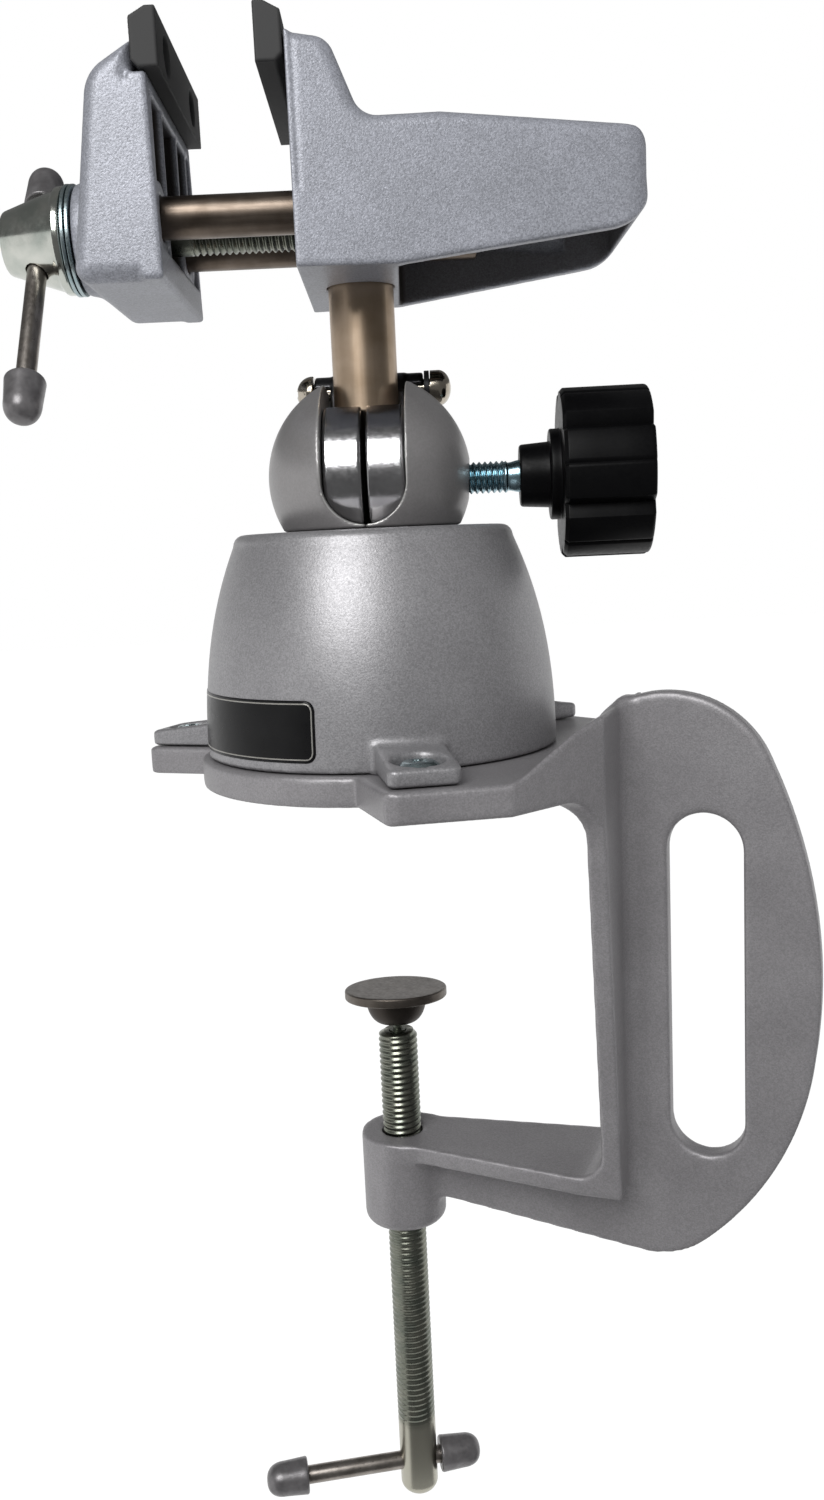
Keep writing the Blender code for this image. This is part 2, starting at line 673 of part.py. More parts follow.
def drum_outline():
    """Outline of the drum across its axis: a disc with a flat top and the leaning stem of its ear."""
    reach = math.hypot(PINCH_Y, PINCH_Z)
    along = Vector((PINCH_Y, PINCH_Z)) / reach
    across = Vector((along.y, -along.x)) * PINCH_EAR_R
    stem_foot = along * math.sqrt(DRUM_R ** 2 - PINCH_EAR_R ** 2) + across
    left = along * ((DRUM_FLAT + across.y) / along.y) - across
    lean = math.degrees(math.atan2(along.y, along.x))
    foot_angle = math.degrees(math.atan2(stem_foot.y, stem_foot.x))
    flat_angle = math.degrees(math.asin(DRUM_FLAT / DRUM_R))
    tip = arc((PINCH_Y, PINCH_Z), PINCH_EAR_R, lean + 90.0, lean - 90.0, 8)
    disc = arc((0.0, 0.0), DRUM_R, foot_angle, -180.0 - flat_angle, 36)
    return [tuple(left)] + tip + disc


def pinch_ear_outline():
    """Outline of the wide part of an ear, outside the ball's reach."""
    lean = math.degrees(math.atan2(PINCH_Z, PINCH_Y))
    ear = arc((PINCH_Y, PINCH_Z), PINCH_EAR_R - RUNNING, lean - 180.0, lean + 180.0, 24)[:-1]
    return [(u, v) for u, v in ear if math.hypot(u, v) > BALL_R]


def split_drum(finish, holder):
    """The two drum halves that grip the post, each with an ear for the pinch bolt."""
    reach = 2.0 * DRUM_R
    for name, side in (("drum_half_left", -1.0), ("drum_half_right", 1.0)):
        drum = prism(drum_outline(), *sorted((side * DRUM_SLIT / 2.0, side * DRUM_HALF)), "X")
        ear = prism(pinch_ear_outline(), *sorted((side * DRUM_HALF / 2.0, side * PINCH_EAR_HALF)), "X")
        bore = rod(POST_R + RUNNING, -reach, reach, steps=ROUND)
        pinch_hole = rod(PINCH_BOLT_R + RUNNING, -reach, reach, "X", at=(PINCH_Y, PINCH_Z))
        piece(name, cut(join(drum, ear), bore, pinch_hole), finish, holder)


def pinch_fasteners(finishes, holder):
    """The pinch bolt with its round head, and the washer and dome nut on its other end."""
    head_face = -PINCH_EAR_HALF - SEAT
    washer_face = PINCH_EAR_HALF + SEAT
    nut_face = washer_face + PINCH_WASHER_T + SEAT
    nut_end = nut_face + PINCH_NUT_H
    bolt_end = nut_face + PINCH_NUT_H * 0.55
    bolt = lathe(
        [(0.0, head_face - PINCH_HEAD_H)]
        + [(PINCH_HEAD_R * math.sin(a), head_face - PINCH_HEAD_H * math.cos(a))
           for a in (0.5, 0.95, 1.3, math.pi / 2.0)]
        + [(PINCH_BOLT_R, head_face), (PINCH_BOLT_R, bolt_end), (0.0, bolt_end)],
        SMALL_ROUND, "X")
    washer = tube(PINCH_BOLT_R + RUNNING, PINCH_HEAD_R, washer_face, nut_face - SEAT, "X")
    bore = PINCH_BOLT_R + RUNNING
    nut = lathe(
        [(0.0, bolt_end + SEAT), (bore, bolt_end + SEAT), (bore, nut_face), (PINCH_HEAD_R, nut_face)]
        + [(PINCH_HEAD_R * math.cos(a), nut_end - PINCH_NUT_H * 0.6 * (1.0 - math.sin(a)))
           for a in (0.0, 0.4, 0.8, 1.2)]
        + [(0.0, nut_end)],
        SMALL_ROUND, "X")
    for name, solid in (("pinch_bolt", bolt), ("pinch_washer", washer), ("pinch_nut", nut)):
        piece(name, shifted(solid, y=PINCH_Y, z=PINCH_Z), finishes[name], holder)


def knob_outline(radius, steps=8):
    """A lobed outline: round lobes with narrow valleys between them."""
    points = []
    for i in range(KNOB_LOBES * steps):
        turn = 2.0 * math.pi * i / (KNOB_LOBES * steps)
        offset = i / steps % 1.0 - 0.5
        valley = KNOB_VALLEY * math.exp(-(offset / 0.13) ** 2)
        bulge = KNOB_VALLEY * 0.25 * math.cos(2.0 * math.pi * offset)
        reach = radius - valley - bulge
        points.append((reach * math.cos(turn), reach * math.sin(turn)))
    return points


def locking_knob(finishes, holder):
    """The lobed knob with its hub, the threaded stud, and the plug that the stud pushes."""
    plug_face = SLOT_HALF + SEAT
    stud_face = plug_face + PLUG_T + SEAT
    hub_end = HUB_START + HUB_L
    knob_end = hub_end + KNOB_L
    grip = prism(knob_outline(KNOB_R), hub_end, knob_end, "X")
    rims = [e for e in grip.edges if abs(e.verts[0].co.x - e.verts[1].co.x) < RUNNING]
    bmesh.ops.bevel(grip, geom=rims, offset=KNOB_EDGE, segments=2, affect="EDGES", profile=0.5)
    hub = lathe([
        (0.0, HUB_START),
        (HUB_R - KNOB_EDGE / 2.0, HUB_START),
        (HUB_R, HUB_START + KNOB_EDGE / 2.0),
        (HUB_R + KNOB_EDGE / 2.0, hub_end),
        (HUB_R + KNOB_EDGE, hub_end + KNOB_L / 4.0),
        (0.0, hub_end + KNOB_L / 4.0),
    ], MID_ROUND, "X")
    stud_end = hub_end + KNOB_L / 2.0
    bore = rod(STUD_R + SEAT, 0.0, stud_end + SEAT, "X")
    piece("knob", cut(join(grip, hub), bore), finishes["knob"], holder)
    stud = rod(STUD_R, stud_face, stud_end, "X", edge=STUD_R / 5.0)
    piece("knob_stud", stud, finishes["knob_stud"], holder)
    return rod(PLUG_R, plug_face, plug_face + PLUG_T, "X", edge=PLUG_R / 10.0)


def head_side():
    """Side outline of the fixed jaw."""
    return rounded([
        (HEAD_FACE_X, HEAD_FLOOR, 0.0),
        (HEAD_FACE_X, JAW_TOP, 0.0),
        (CROWN_X, JAW_TOP - CROWN_DROP, CROWN_R),
        (NECK_X, BODY_TOP, NECK_FILLET),
        (HUMP_X, BODY_TOP + HUMP_RISE, 0.0),
        (HEAD_TAIL_X, BODY_TAIL_TOP, TAIL_R),
        (HEAD_TAIL_X, TAIL_BELLY, TAIL_BELLY_R),
        (HEAD_TAIL_X - TAIL_UNDERCUT, TAIL_FLOOR, 0.0),
        (HEAD_BLOCK_END, HEAD_FLOOR, 0.0),
    ])


def head_plan(inset=0.0):
    """Plan outline of the fixed jaw: wide at the jaw and narrow at the tail."""
    half = rounded([
        (HEAD_FACE_X - SEAT, HEAD_FRONT_HALF - inset, 0.0),
        (HEAD_TAIL_X - inset, HEAD_TAIL_HALF - inset, HEAD_CORNER_R - inset),
        (HEAD_TAIL_X - inset, 0.0, 0.0),
        (HEAD_FACE_X - SEAT, 0.0, 0.0),
    ])
    side = half[:-2]
    return side + [(x, -y) for x, y in reversed(side)]


def fixed_jaw(finish, holder):
    """The fixed jaw casting: a solid block around post and rods, and a hollow tail open below."""
    wide = 2.0 * HEAD_FRONT_HALF
    outside = common(prism(head_side(), -wide, wide, "Y"), prism(head_plan(), 0.0, 2.0 * JAW_TOP))
    outside = soften(outside, HEAD_EDGE, lambda c: c.z > TAIL_BELLY and c.x > HEAD_FACE_X + SEAT)
    cavity = common(prism([
        (HEAD_BLOCK_END, HEAD_FLOOR - HEAD_WALL),
        (HEAD_BLOCK_END, BODY_TOP - HEAD_WALL),
        (HEAD_TAIL_X, BODY_TAIL_TOP - HEAD_WALL),
        (HEAD_TAIL_X, HEAD_FLOOR - HEAD_WALL),
    ], -wide, wide, "Y"), prism(head_plan(HEAD_WALL), 0.0, 2.0 * JAW_TOP))
    bore_end = ROD_END_X + JAW_GAP + HEAD_WALL / 2.0
    bores = [rod(ROD_R + RUNNING, 2.0 * HEAD_FACE_X, bore_end, "X", MID_ROUND, at=(y, DRIVE_Z))
             for y in (-ROD_Y, ROD_Y)]
    bores.append(rod(SCREW_R + RUNNING, 2.0 * HEAD_FACE_X, bore_end, "X", MID_ROUND, at=(0.0, DRIVE_Z)))
    socket = rod(POST_R + RUNNING, 0.0, DRIVE_Z + ROD_R + POST_R, steps=ROUND)
    tap_z = PAD_FOOT + PAD_H / 2.0
    taps = [rod(PAD_SCREW_R + RUNNING, 2.0 * HEAD_FACE_X, HEAD_FACE_X + PAD_SCREW_L, "X", at=(y, tap_z))
            for y in (-PAD_HOLE_Y, PAD_HOLE_Y)]
    return piece("fixed_jaw", cut(outside, cavity, *bores, socket, *taps), finish, holder)


def post(finish, holder):
    """The round post, pressed in the head's boss and cross-drilled where the lead screw passes."""
    top = DRIVE_Z + ROD_R + POST_R - SEAT
    shaft = rod(POST_R, POST_FOOT, top, steps=ROUND, edge=POST_R / 10.0)
    cross = rod(SCREW_R + 3.0 * RUNNING, -2.0 * POST_R, 2.0 * POST_R, "X", MID_ROUND, at=(0.0, DRIVE_Z))
    return piece("post", cut(shaft, cross), finish, holder)


def jaw_pad():
    """A pad with its back at x = 0 and its grip at -x: top chamfer, heel and two screw holes."""
    outline = [
        (0.0, PAD_FOOT + PAD_HEEL),
        (0.0, PAD_FOOT + PAD_H - PAD_CHAMFER_Z),
        (-PAD_CHAMFER_X, PAD_FOOT + PAD_H),
        (-PAD_T, PAD_FOOT + PAD_H),
        (-PAD_T, PAD_FOOT),
        (-PAD_HEEL, PAD_FOOT),
    ]
    pad = prism(outline, -PAD_W / 2.0, PAD_W / 2.0, "Y")
    middle = PAD_FOOT + PAD_H / 2.0
    holes = []
    for y in (-PAD_HOLE_Y, PAD_HOLE_Y):
        head = -PAD_T + PAD_SCREW_SUNK + PAD_SCREW_HEAD_H
        sink = lathe([
            (0.0, -2.0 * PAD_T),
            (PAD_SCREW_HEAD_R + SEAT, -2.0 * PAD_T),
            (PAD_SCREW_HEAD_R + SEAT, -PAD_T + PAD_SCREW_SUNK),
            (PAD_SCREW_R + SEAT, head),
            (PAD_SCREW_R + SEAT, PAD_T),
            (0.0, PAD_T),
        ], SMALL_ROUND, "X")
        holes.append(shifted(sink, y=y, z=middle))
    return cut(pad, *holes)


def pad_screw(y):
    """A countersunk screw in a jaw pad whose back is at x = 0."""
    face = -PAD_T + PAD_SCREW_SUNK
    screw = lathe([
        (0.0, face),
        (PAD_SCREW_HEAD_R, face),
        (PAD_SCREW_R, face + PAD_SCREW_HEAD_H),
        (PAD_SCREW_R, face + PAD_SCREW_L),
        (0.0, face + PAD_SCREW_L),
    ], SMALL_ROUND, "X")
    return shifted(screw, y=y, z=PAD_FOOT + PAD_H / 2.0)


def jaw_pads(finishes, holders):
    """Both pads with their screws: the fixed jaw's, and its mirror image on the moving jaw."""
    flip = Matrix.Rotation(math.pi, 4, "Z")
    moving_back = -JAW_REBATE + SEAT
    places = (
        ("fixed", Matrix.Translation((FIXED_PAD_X, 0.0, 0.0))),
        ("moving", Matrix.Translation((moving_back, 0.0, -DRIVE_Z)) @ flip),
    )
    for side, place in places:
        piece(f"{side}_jaw_pad", moved(jaw_pad(), place), finishes["pad"], holders[side])
        for number, y in enumerate((-PAD_HOLE_Y, PAD_HOLE_Y), start=1):
            piece(f"{side}_pad_screw_{number}", moved(pad_screw(y), place), finishes["screw"],
                  holders[side])


def moving_jaw(finish, holder):
    """The moving jaw casting, in a frame on the drive axis at its inner face."""
    floor = HEAD_FLOOR - JAW_FLOOR_DROP - DRIVE_Z
    seat = PAD_FOOT - DRIVE_Z
    top = JAW_TOP - DRIVE_Z
    side = rounded([
        (JAW_TOE, floor, JAW_TOE),
        (0.0, seat - SEAT, 0.0),
        (-JAW_REBATE, seat - SEAT, 0.0),
        (-JAW_REBATE, top, 0.0),
        (-JAW_CROWN_T, top - JAW_CROWN_DROP, JAW_CROWN_R),
        (-JAW_T, floor, JAW_HEEL_R),
    ])
    body = prism(side, -JAW_HALF, JAW_HALF, "Y")
    body = soften(body, HEAD_EDGE, lambda c: c.x < -JAW_REBATE * 2.0 and abs(c.y) > JAW_HALF * 0.9)
    back = -JAW_T + JAW_WALL
    cavity = prism([
        (back, JAW_CAVITY_FLOOR - DRIVE_Z),
        (JAW_T, JAW_CAVITY_FLOOR - DRIVE_Z),
        (JAW_T, seat - JAW_WALL),
        (back + JAW_T - JAW_CROWN_T, seat - JAW_WALL),
    ], -JAW_HALF + JAW_WALL, JAW_HALF - JAW_WALL, "Y")
    lean = JAW_T - JAW_CROWN_T
    rib_side = [
        (back - JAW_WALL / 2.0, floor + JAW_WALL),
        (-RUNNING, floor + JAW_WALL),
        (-RUNNING, seat - JAW_WALL / 2.0),
        (back + lean - JAW_WALL / 2.0, seat - JAW_WALL / 2.0),
    ]
    ribs = [prism(rib_side, y - JAW_RIB_T / 2.0, y + JAW_RIB_T / 2.0, "Y")
            for y in (-JAW_OUTER_RIB_Y, -JAW_RIB_Y, JAW_RIB_Y, JAW_OUTER_RIB_Y)]
    sleeves = [rod(JAW_SLEEVE_R, back, -SEAT, "X", MID_ROUND, at=(y, 0.0)) for y in (-ROD_Y, ROD_Y)]
    boss = lathe([
        (0.0, -JAW_T - JAW_BOSS_L),
        (JAW_BOSS_R - HEAD_EDGE / 2.0, -JAW_T - JAW_BOSS_L),
        (JAW_BOSS_R, -JAW_T - JAW_BOSS_L + HEAD_EDGE / 2.0),
        (JAW_BOSS_R + HEAD_EDGE / 2.0, -CLIP_SEAT),
        (0.0, -CLIP_SEAT),
    ], ROUND, "X")
    body = join(cut(body, cavity), boss, *ribs, *sleeves)
    far = JAW_T + 2.0 * JAW_BOSS_L
    holes = [rod(ROD_R + RUNNING, -JAW_CROWN_T, far, "X", MID_ROUND, at=(y, 0.0)) for y in (-ROD_Y, ROD_Y)]
    holes.append(rod(SCREW_R + 2.0 * RUNNING, -far, far, "X", MID_ROUND))
    holes += [rod(PAD_SCREW_R + RUNNING, -JAW_T + JAW_WALL, far, "X",
                  at=(y, seat + PAD_H / 2.0)) for y in (-PAD_HOLE_Y, PAD_HOLE_Y)]
    return piece("moving_jaw", cut(body, *holes), finish, holder)


def guide_rods(finish, holder):
    """The two guide rods, fixed in the moving jaw and sliding in the fixed one."""
    start = -JAW_CROWN_T + SEAT
    for name, y in (("guide_rod_front", -ROD_Y), ("guide_rod_rear", ROD_Y)):
        solid = rod(ROD_R, start, ROD_END_X - JAW_FACE_X, "X", MID_ROUND, edge=ROD_R / 8.0, at=(y, 0.0))
        piece(name, solid, finish, holder)


def handle(finishes, holder):
    """The lead screw with its clip, washers and handle cone, around the drive axis."""
    back = -JAW_T - JAW_BOSS_L
    washer_in = back - SEAT
    washer_out = washer_in - WASHER_T - SEAT
    cone_face = washer_out - WASHER_T - SEAT
    tip = cone_face - CONE_L
    screw_start = cone_face - CONE_BORE_L + SEAT
    screw = rod(SCREW_R, screw_start, ROD_END_X - JAW_FACE_X, "X", MID_ROUND, edge=SCREW_R / 8.0)
    piece("lead_screw", screw, finishes["lead_screw"], holder)
    bore = SCREW_R + RUNNING
    for name, face in (("thrust_washer_inner", washer_in), ("thrust_washer_outer", washer_out)):
        piece(name, tube(bore, WASHER_R, face - WASHER_T, face, "X", ROUND), finishes["washer"], holder)
    clip_face = -CLIP_SEAT + SEAT
    piece("retaining_clip", tube(bore, CLIP_R, clip_face, clip_face + CLIP_T, "X"), finishes["clip"], holder)
    cone = lathe([
        (0.0, tip),
        (CONE_TIP_R * 0.8, tip),
        (CONE_TIP_R, tip + CONE_TIP_R * 0.2),
        (CONE_R - 1.5 * CONE_RIM_EDGE, cone_face - CONE_RIM_L - CONE_RIM_EDGE),
        (CONE_R, cone_face - CONE_RIM_L),
        (CONE_R, cone_face - CONE_RIM_EDGE),
        (CONE_R - CONE_RIM_EDGE, cone_face),
        (bore, cone_face),
        (bore, cone_face - CONE_BORE_L),
        (0.0, cone_face - CONE_BORE_L),
    ], MID_ROUND, "X")
    hole = rod(BAR_R + RUNNING, -3.0 * CONE_R, 3.0 * CONE_R)
    hole = spun(shifted(hole, x=cone_face - CONE_BAR_X), JAW_BAR_ANGLE_DEG, "X")
    piece("handle_cone", cut(cone, hole), finishes["cone"], holder)
    return cone_face - CONE_BAR_X


def capped_bar(prefix, ends, finishes, holder, low, high):
    """A sliding bar along z with a cap on each end. The caps start at the two levels."""
    bar = rod(BAR_R, low - CAP_BORE_L + SEAT, high + CAP_BORE_L - SEAT, edge=BAR_R / 6.0)
    piece(f"{prefix}_bar", bar, finishes["bar"], holder)
    bore = BAR_R + RUNNING
    profile = [
        (0.0, CAP_BORE_L),
        (bore, CAP_BORE_L),
        (bore, 0.0),
        (CAP_NOSE_R, 0.0),
        (CAP_R, CAP_L * 0.45),
        (CAP_R, CAP_L * 0.78),
        (CAP_R * 0.85, CAP_L * 0.93),
        (CAP_R * 0.5, CAP_L),
        (0.0, CAP_L),
    ]
    turned = Matrix.Rotation(math.pi, 4, "X")
    upper = shifted(lathe(profile, SMALL_ROUND), z=high)
    lower = shifted(moved(lathe(profile, SMALL_ROUND), turned), z=low)
    for name, solid in zip(ends, (upper, lower)):
        piece(f"{prefix}_bar_cap_{name}", solid, finishes["cap"], holder)


def clamp_drive(finishes, mount):
    """The clamp screw with its bar, the ball stud in its nose and the swivel pad on the stud."""
    travel = joint("clamp_travel", mount, (0.0, 0.0, CLAMP_SCREW_TOP), (0.0, 0.0, -MOUNT_ANGLE_DEG))
    turn = joint("clamp_screw_turn", travel)
    bore = STUD_ROOT_R + RUNNING
    shaft = lathe([
        (0.0, -CLAMP_NOSE_BORE_L),
        (bore, -CLAMP_NOSE_BORE_L),
        (bore, 0.0),
        (CLAMP_SCREW_R - CLAMP_SCREW_EDGE, 0.0),
        (CLAMP_SCREW_R, -CLAMP_SCREW_EDGE),
        (CLAMP_SCREW_R, -CLAMP_SCREW_L + CLAMP_SCREW_END),
        (CLAMP_SCREW_R * 0.8, -CLAMP_SCREW_L + CLAMP_SCREW_END * 0.3),
        (CLAMP_SCREW_R * 0.4, -CLAMP_SCREW_L),
        (0.0, -CLAMP_SCREW_L),
    ], MID_ROUND)
    hole = spun(rod(BAR_R + RUNNING, -4.0 * CLAMP_SCREW_R, 4.0 * CLAMP_SCREW_R, "X"), CLAMP_BAR_ANGLE_DEG)
    shaft = cut(shaft, shifted(hole, z=-CLAMP_BAR_DROP))
    piece("clamp_screw", shaft, finishes["clamp_screw"], turn)
    bar = joint("clamp_bar_slide", turn, (0.0, 0.0, -CLAMP_BAR_DROP), (0.0, 90.0, CLAMP_BAR_ANGLE_DEG))
    capped_bar("clamp", ("right", "left"), finishes, bar, -CLAMP_BAR_SPAN, CLAMP_BAR_REST)
    ball_z = STUD_NECK_L + STUD_BALL_R
    ball = arc((0.0, ball_z), STUD_BALL_R, -64.0, 90.0, 7)
    stud = lathe(
        [(0.0, -CLAMP_NOSE_BORE_L + SEAT), (STUD_ROOT_R, -CLAMP_NOSE_BORE_L + SEAT), (STUD_ROOT_R, SEAT),
         (STUD_NECK_R, SEAT)] + ball[:-1] + [(0.0, ball_z + STUD_BALL_R)], SMALL_ROUND)
    piece("pad_stud", stud, finishes["pad_stud"], travel)
    swivel = joint("pad_swivel", travel, (0.0, 0.0, ball_z), (PAD_ANGLE_DEG, 0.0, 0.0))
    room = STUD_BALL_R + RUNNING
    foot = -STUD_BALL_R + SEAT * 4.0
    mouth = math.degrees(math.asin(foot / room))
    socket = arc((0.0, 0.0), room, 90.0, mouth, 6)
    rim_low = foot + SWIVEL_CUP_H
    rim_top = rim_low + SWIVEL_RIM
    pad = lathe(
        [(0.0, room)] + socket[1:] + [
            (SWIVEL_FOOT_R - SWIVEL_EDGE, foot - SWIVEL_SKIRT),
            (SWIVEL_FOOT_R, foot - SWIVEL_SKIRT + SWIVEL_EDGE),
            (SWIVEL_CUP_R, rim_low - SWIVEL_EDGE),
            (SWIVEL_CUP_R + SWIVEL_EDGE, rim_low),
            (SWIVEL_R - SWIVEL_EDGE, rim_low),
            (SWIVEL_R, rim_low + SWIVEL_EDGE),
            (SWIVEL_R, rim_top - SWIVEL_EDGE),
            (SWIVEL_R - SWIVEL_EDGE, rim_top),
            (0.0, rim_top),
        ], MID_ROUND)
    piece("clamp_pad", pad, finishes["swivel"], swivel)


def vise_head(finishes, tilt):
    """The post and fixed jaw, and the moving jaw with its rods, lead screw and handle."""
    spin = joint("head_spin", tilt, (0.0, 0.0, HEAD_LIFT), (0.0, 0.0, -BALL_ANGLE_DEG))
    post(finishes["post"], spin)
    fixed_jaw(finishes["head"], spin)
    slide = joint("jaw_slide", spin, (JAW_FACE_X, 0.0, DRIVE_Z))
    moving_jaw(finishes["head"], slide)
    guide_rods(finishes["post"], slide)
    jaw_pads(finishes, {"fixed": spin, "moving": slide})
    turn = joint("lead_screw_turn", slide)
    bar_x = handle(finishes, turn)
    bar = joint("jaw_bar_slide", turn, (bar_x, 0.0, 0.0), (JAW_BAR_ANGLE_DEG, 0.0, 0.0))
    capped_bar("jaw", ("upper", "lower"), finishes, bar, -JAW_BAR_SPAN, JAW_BAR_REST)


def make_finishes():
    """One material for each finish seen on the vise."""
    casting = material("sprayed_grey_casting", "#8C8B8D", 0.55, 0.7)
    head = material("sprayed_silver_casting", "#A3A7AD", 0.5, 0.7)
    steel = material("ground_steel", "#7C7065", 0.32, 1.0)
    zinc = material("zinc_plate", "#9DA19C", 0.3, 1.0)
    blue_zinc = material("blue_zinc_plate", "#A3B0B4", 0.28, 1.0)
    chrome = material("chrome_plate", "#B4B3B0", 0.12, 1.0)
    dark_steel = material("dark_steel", "#4B4845", 0.42, 0.9)
    black_plastic = material("black_plastic", "#1C1C1D", 0.45, 0.0)
    nylon = material("black_nylon", "#2A2A2B", 0.6, 0.0)
    cap = material("grey_end_cap", "#55565A", 0.5, 0.3)
    brass = material("brass", "#9A7B42", 0.35, 1.0)
    return {
        "casting": casting, "head": head, "post": steel, "screw": blue_zinc, "ball": casting,
        "drum": chrome, "pinch_bolt": chrome, "pinch_washer": dark_steel, "pinch_nut": chrome,
        "knob": black_plastic, "knob_stud": blue_zinc, "plug": brass, "pad": nylon,
        "lead_screw": zinc, "washer": blue_zinc, "clip": dark_steel, "cone": zinc, "bar": dark_steel,
        "cap": cap, "clamp_screw": zinc, "pad_stud": zinc, "swivel": dark_steel,
    }


def main():
    """Builds the whole vise in an empty scene."""
    for old in list(bpy.data.objects):
        bpy.data.objects.remove(old)
    finishes = make_finishes()
    mount = joint("bench_mount", turn=(0.0, 0.0, MOUNT_ANGLE_DEG))
    clamp_frame(finishes["casting"], mount)
    base_housing(finishes["casting"], mount)
    base_screws(finishes["screw"], mount)
    clamp_drive(finishes, mount)
    ball = joint("ball_turn", at=(0.0, 0.0, BALL_Z), turn=(0.0, 0.0, BALL_ANGLE_DEG))
    split_ball(finishes["ball"], ball)
    travel = joint("knob_travel", ball, (0.0, 0.0, -STUD_DROP))
    knob = joint("knob_turn", travel)
    plug = locking_knob(finishes, knob)
    piece("thrust_plug", plug, finishes["plug"], travel)
    tilt = joint("head_tilt", ball)
    split_drum(finishes["drum"], tilt)
    pinch_fasteners(finishes, tilt)
    vise_head(finishes, tilt)


main()
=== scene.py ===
"""Looks of the tilting bench vise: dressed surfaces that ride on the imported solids.

Sizes are in millimetres and follow the solids. A casting is a signed distance, negative inside, worked out
with numpy on a lattice of points and skinned where it is zero, so its edges and inner corners carry real
fillets. A turned or threaded piece is a grid over an angle and a level.
"""

import logging
import math
from dataclasses import dataclass
from enum import Enum

import bmesh
import bpy
import numpy as np
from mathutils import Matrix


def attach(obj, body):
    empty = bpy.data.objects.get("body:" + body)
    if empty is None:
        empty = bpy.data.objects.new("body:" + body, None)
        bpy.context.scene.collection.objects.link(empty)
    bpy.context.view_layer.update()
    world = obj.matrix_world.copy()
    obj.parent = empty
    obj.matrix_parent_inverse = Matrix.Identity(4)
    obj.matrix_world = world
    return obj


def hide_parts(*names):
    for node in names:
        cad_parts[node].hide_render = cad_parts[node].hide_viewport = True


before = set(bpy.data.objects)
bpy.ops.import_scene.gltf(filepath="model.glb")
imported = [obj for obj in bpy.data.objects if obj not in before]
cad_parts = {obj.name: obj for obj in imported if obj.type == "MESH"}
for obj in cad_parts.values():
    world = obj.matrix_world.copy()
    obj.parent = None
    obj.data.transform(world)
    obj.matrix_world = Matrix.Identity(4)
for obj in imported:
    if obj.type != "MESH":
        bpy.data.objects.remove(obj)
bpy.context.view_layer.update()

import openvdb
from mathutils import Matrix, Vector

MM = 0.001
# Gaps between pieces that sit on each other, and between those that run in each other.
SEAT = 0.3
RUNNING = 0.2
# Rows of a thread in one pitch.
THREAD_ROWS = 9.0
# A thread's V is this much steeper than a pitch allows, so that its crest and root are left flat.
THREAD_STEEP = 1.3
THREAD_FLAT = 0.15
# Points that lie closer than this are one point.
WELD = 0.002
# Edges that turn by more than this stay sharp: on turned pieces, and on threads and washers.
SHARP_TURNED = 40.0
SHARP_THREAD = 50.0
# The part of a noise's values that is stretched to a full mix, for patches of colour and for gloss.
PATCH_RANGE = (0.3, 0.7)
GLOSS_RANGE = (0.25, 0.75)
# The two halves of a split piece, by their side of the slit.
SIDES = ((-1.0, "left"), (1.0, "right"))

Array = np.ndarray
Surface = tuple[Array, Array]
Point = tuple[float, float, float]
Pair = tuple[float, float]
log = logging.getLogger("vise")


class Slot(Enum):
    """Material slots of the record."""

    CASTING = "casting"
    HEAD = "head_casting"
    STEEL = "ground_steel"
    ZINC = "zinc_screw"
    BLUE_ZINC = "blue_zinc"
    CHROME = "chrome"
    DARK_STEEL = "dark_steel"
    PLASTIC = "black_plastic"
    NYLON = "black_nylon"
    CAP = "grey_cap"
    BRASS = "brass"


class Body(Enum):
    """Moving bodies of the vise."""

    MOUNT = "mount"
    BALL = "ball"
    DRUM = "drum"
    HEAD = "head"
    JAW = "jaw"
    DRIVE = "drive"
    JAW_BAR = "jaw_bar"
    KNOB_CARRIER = "knob_carrier"
    KNOB = "knob"
    CLAMP_CARRIER = "clamp_carrier"
    CLAMP_SCREW = "clamp_screw"
    CLAMP_PAD = "clamp_pad"
    CLAMP_BAR = "clamp_bar"


def linear(hex_colour: str) -> tuple[float, float, float, float]:
    """Turns an sRGB hex colour into linear red, green, blue and alpha."""
    srgb = np.array([int(hex_colour[i:i + 2], 16) for i in (1, 3, 5)]) / 255.0
    light = np.where(srgb <= 0.04045, srgb / 12.92, ((srgb + 0.055) / 1.055) ** 2.4)
    return (*light.tolist(), 1.0)


def add(tree: bpy.types.NodeTree, kind: str, inputs: dict | None = None, **settings) -> bpy.types.Node:
    """Adds one shader node.

    Args:
        tree: the node tree that gets the node.
        kind: the node's type without its ShaderNode prefix.
        inputs: for each input, a value or the output socket that feeds it.
        settings: the node's own properties.

    Returns:
        The new node.
    """
    made = tree.nodes.new("ShaderNode" + kind)
    for name, value in settings.items():
        setattr(made, name, value)
    for name, value in (inputs or {}).items():
        if isinstance(value, bpy.types.NodeSocket):
            tree.links.new(value, made.inputs[name])
        else:
            made.inputs[name].default_value = value
    return made


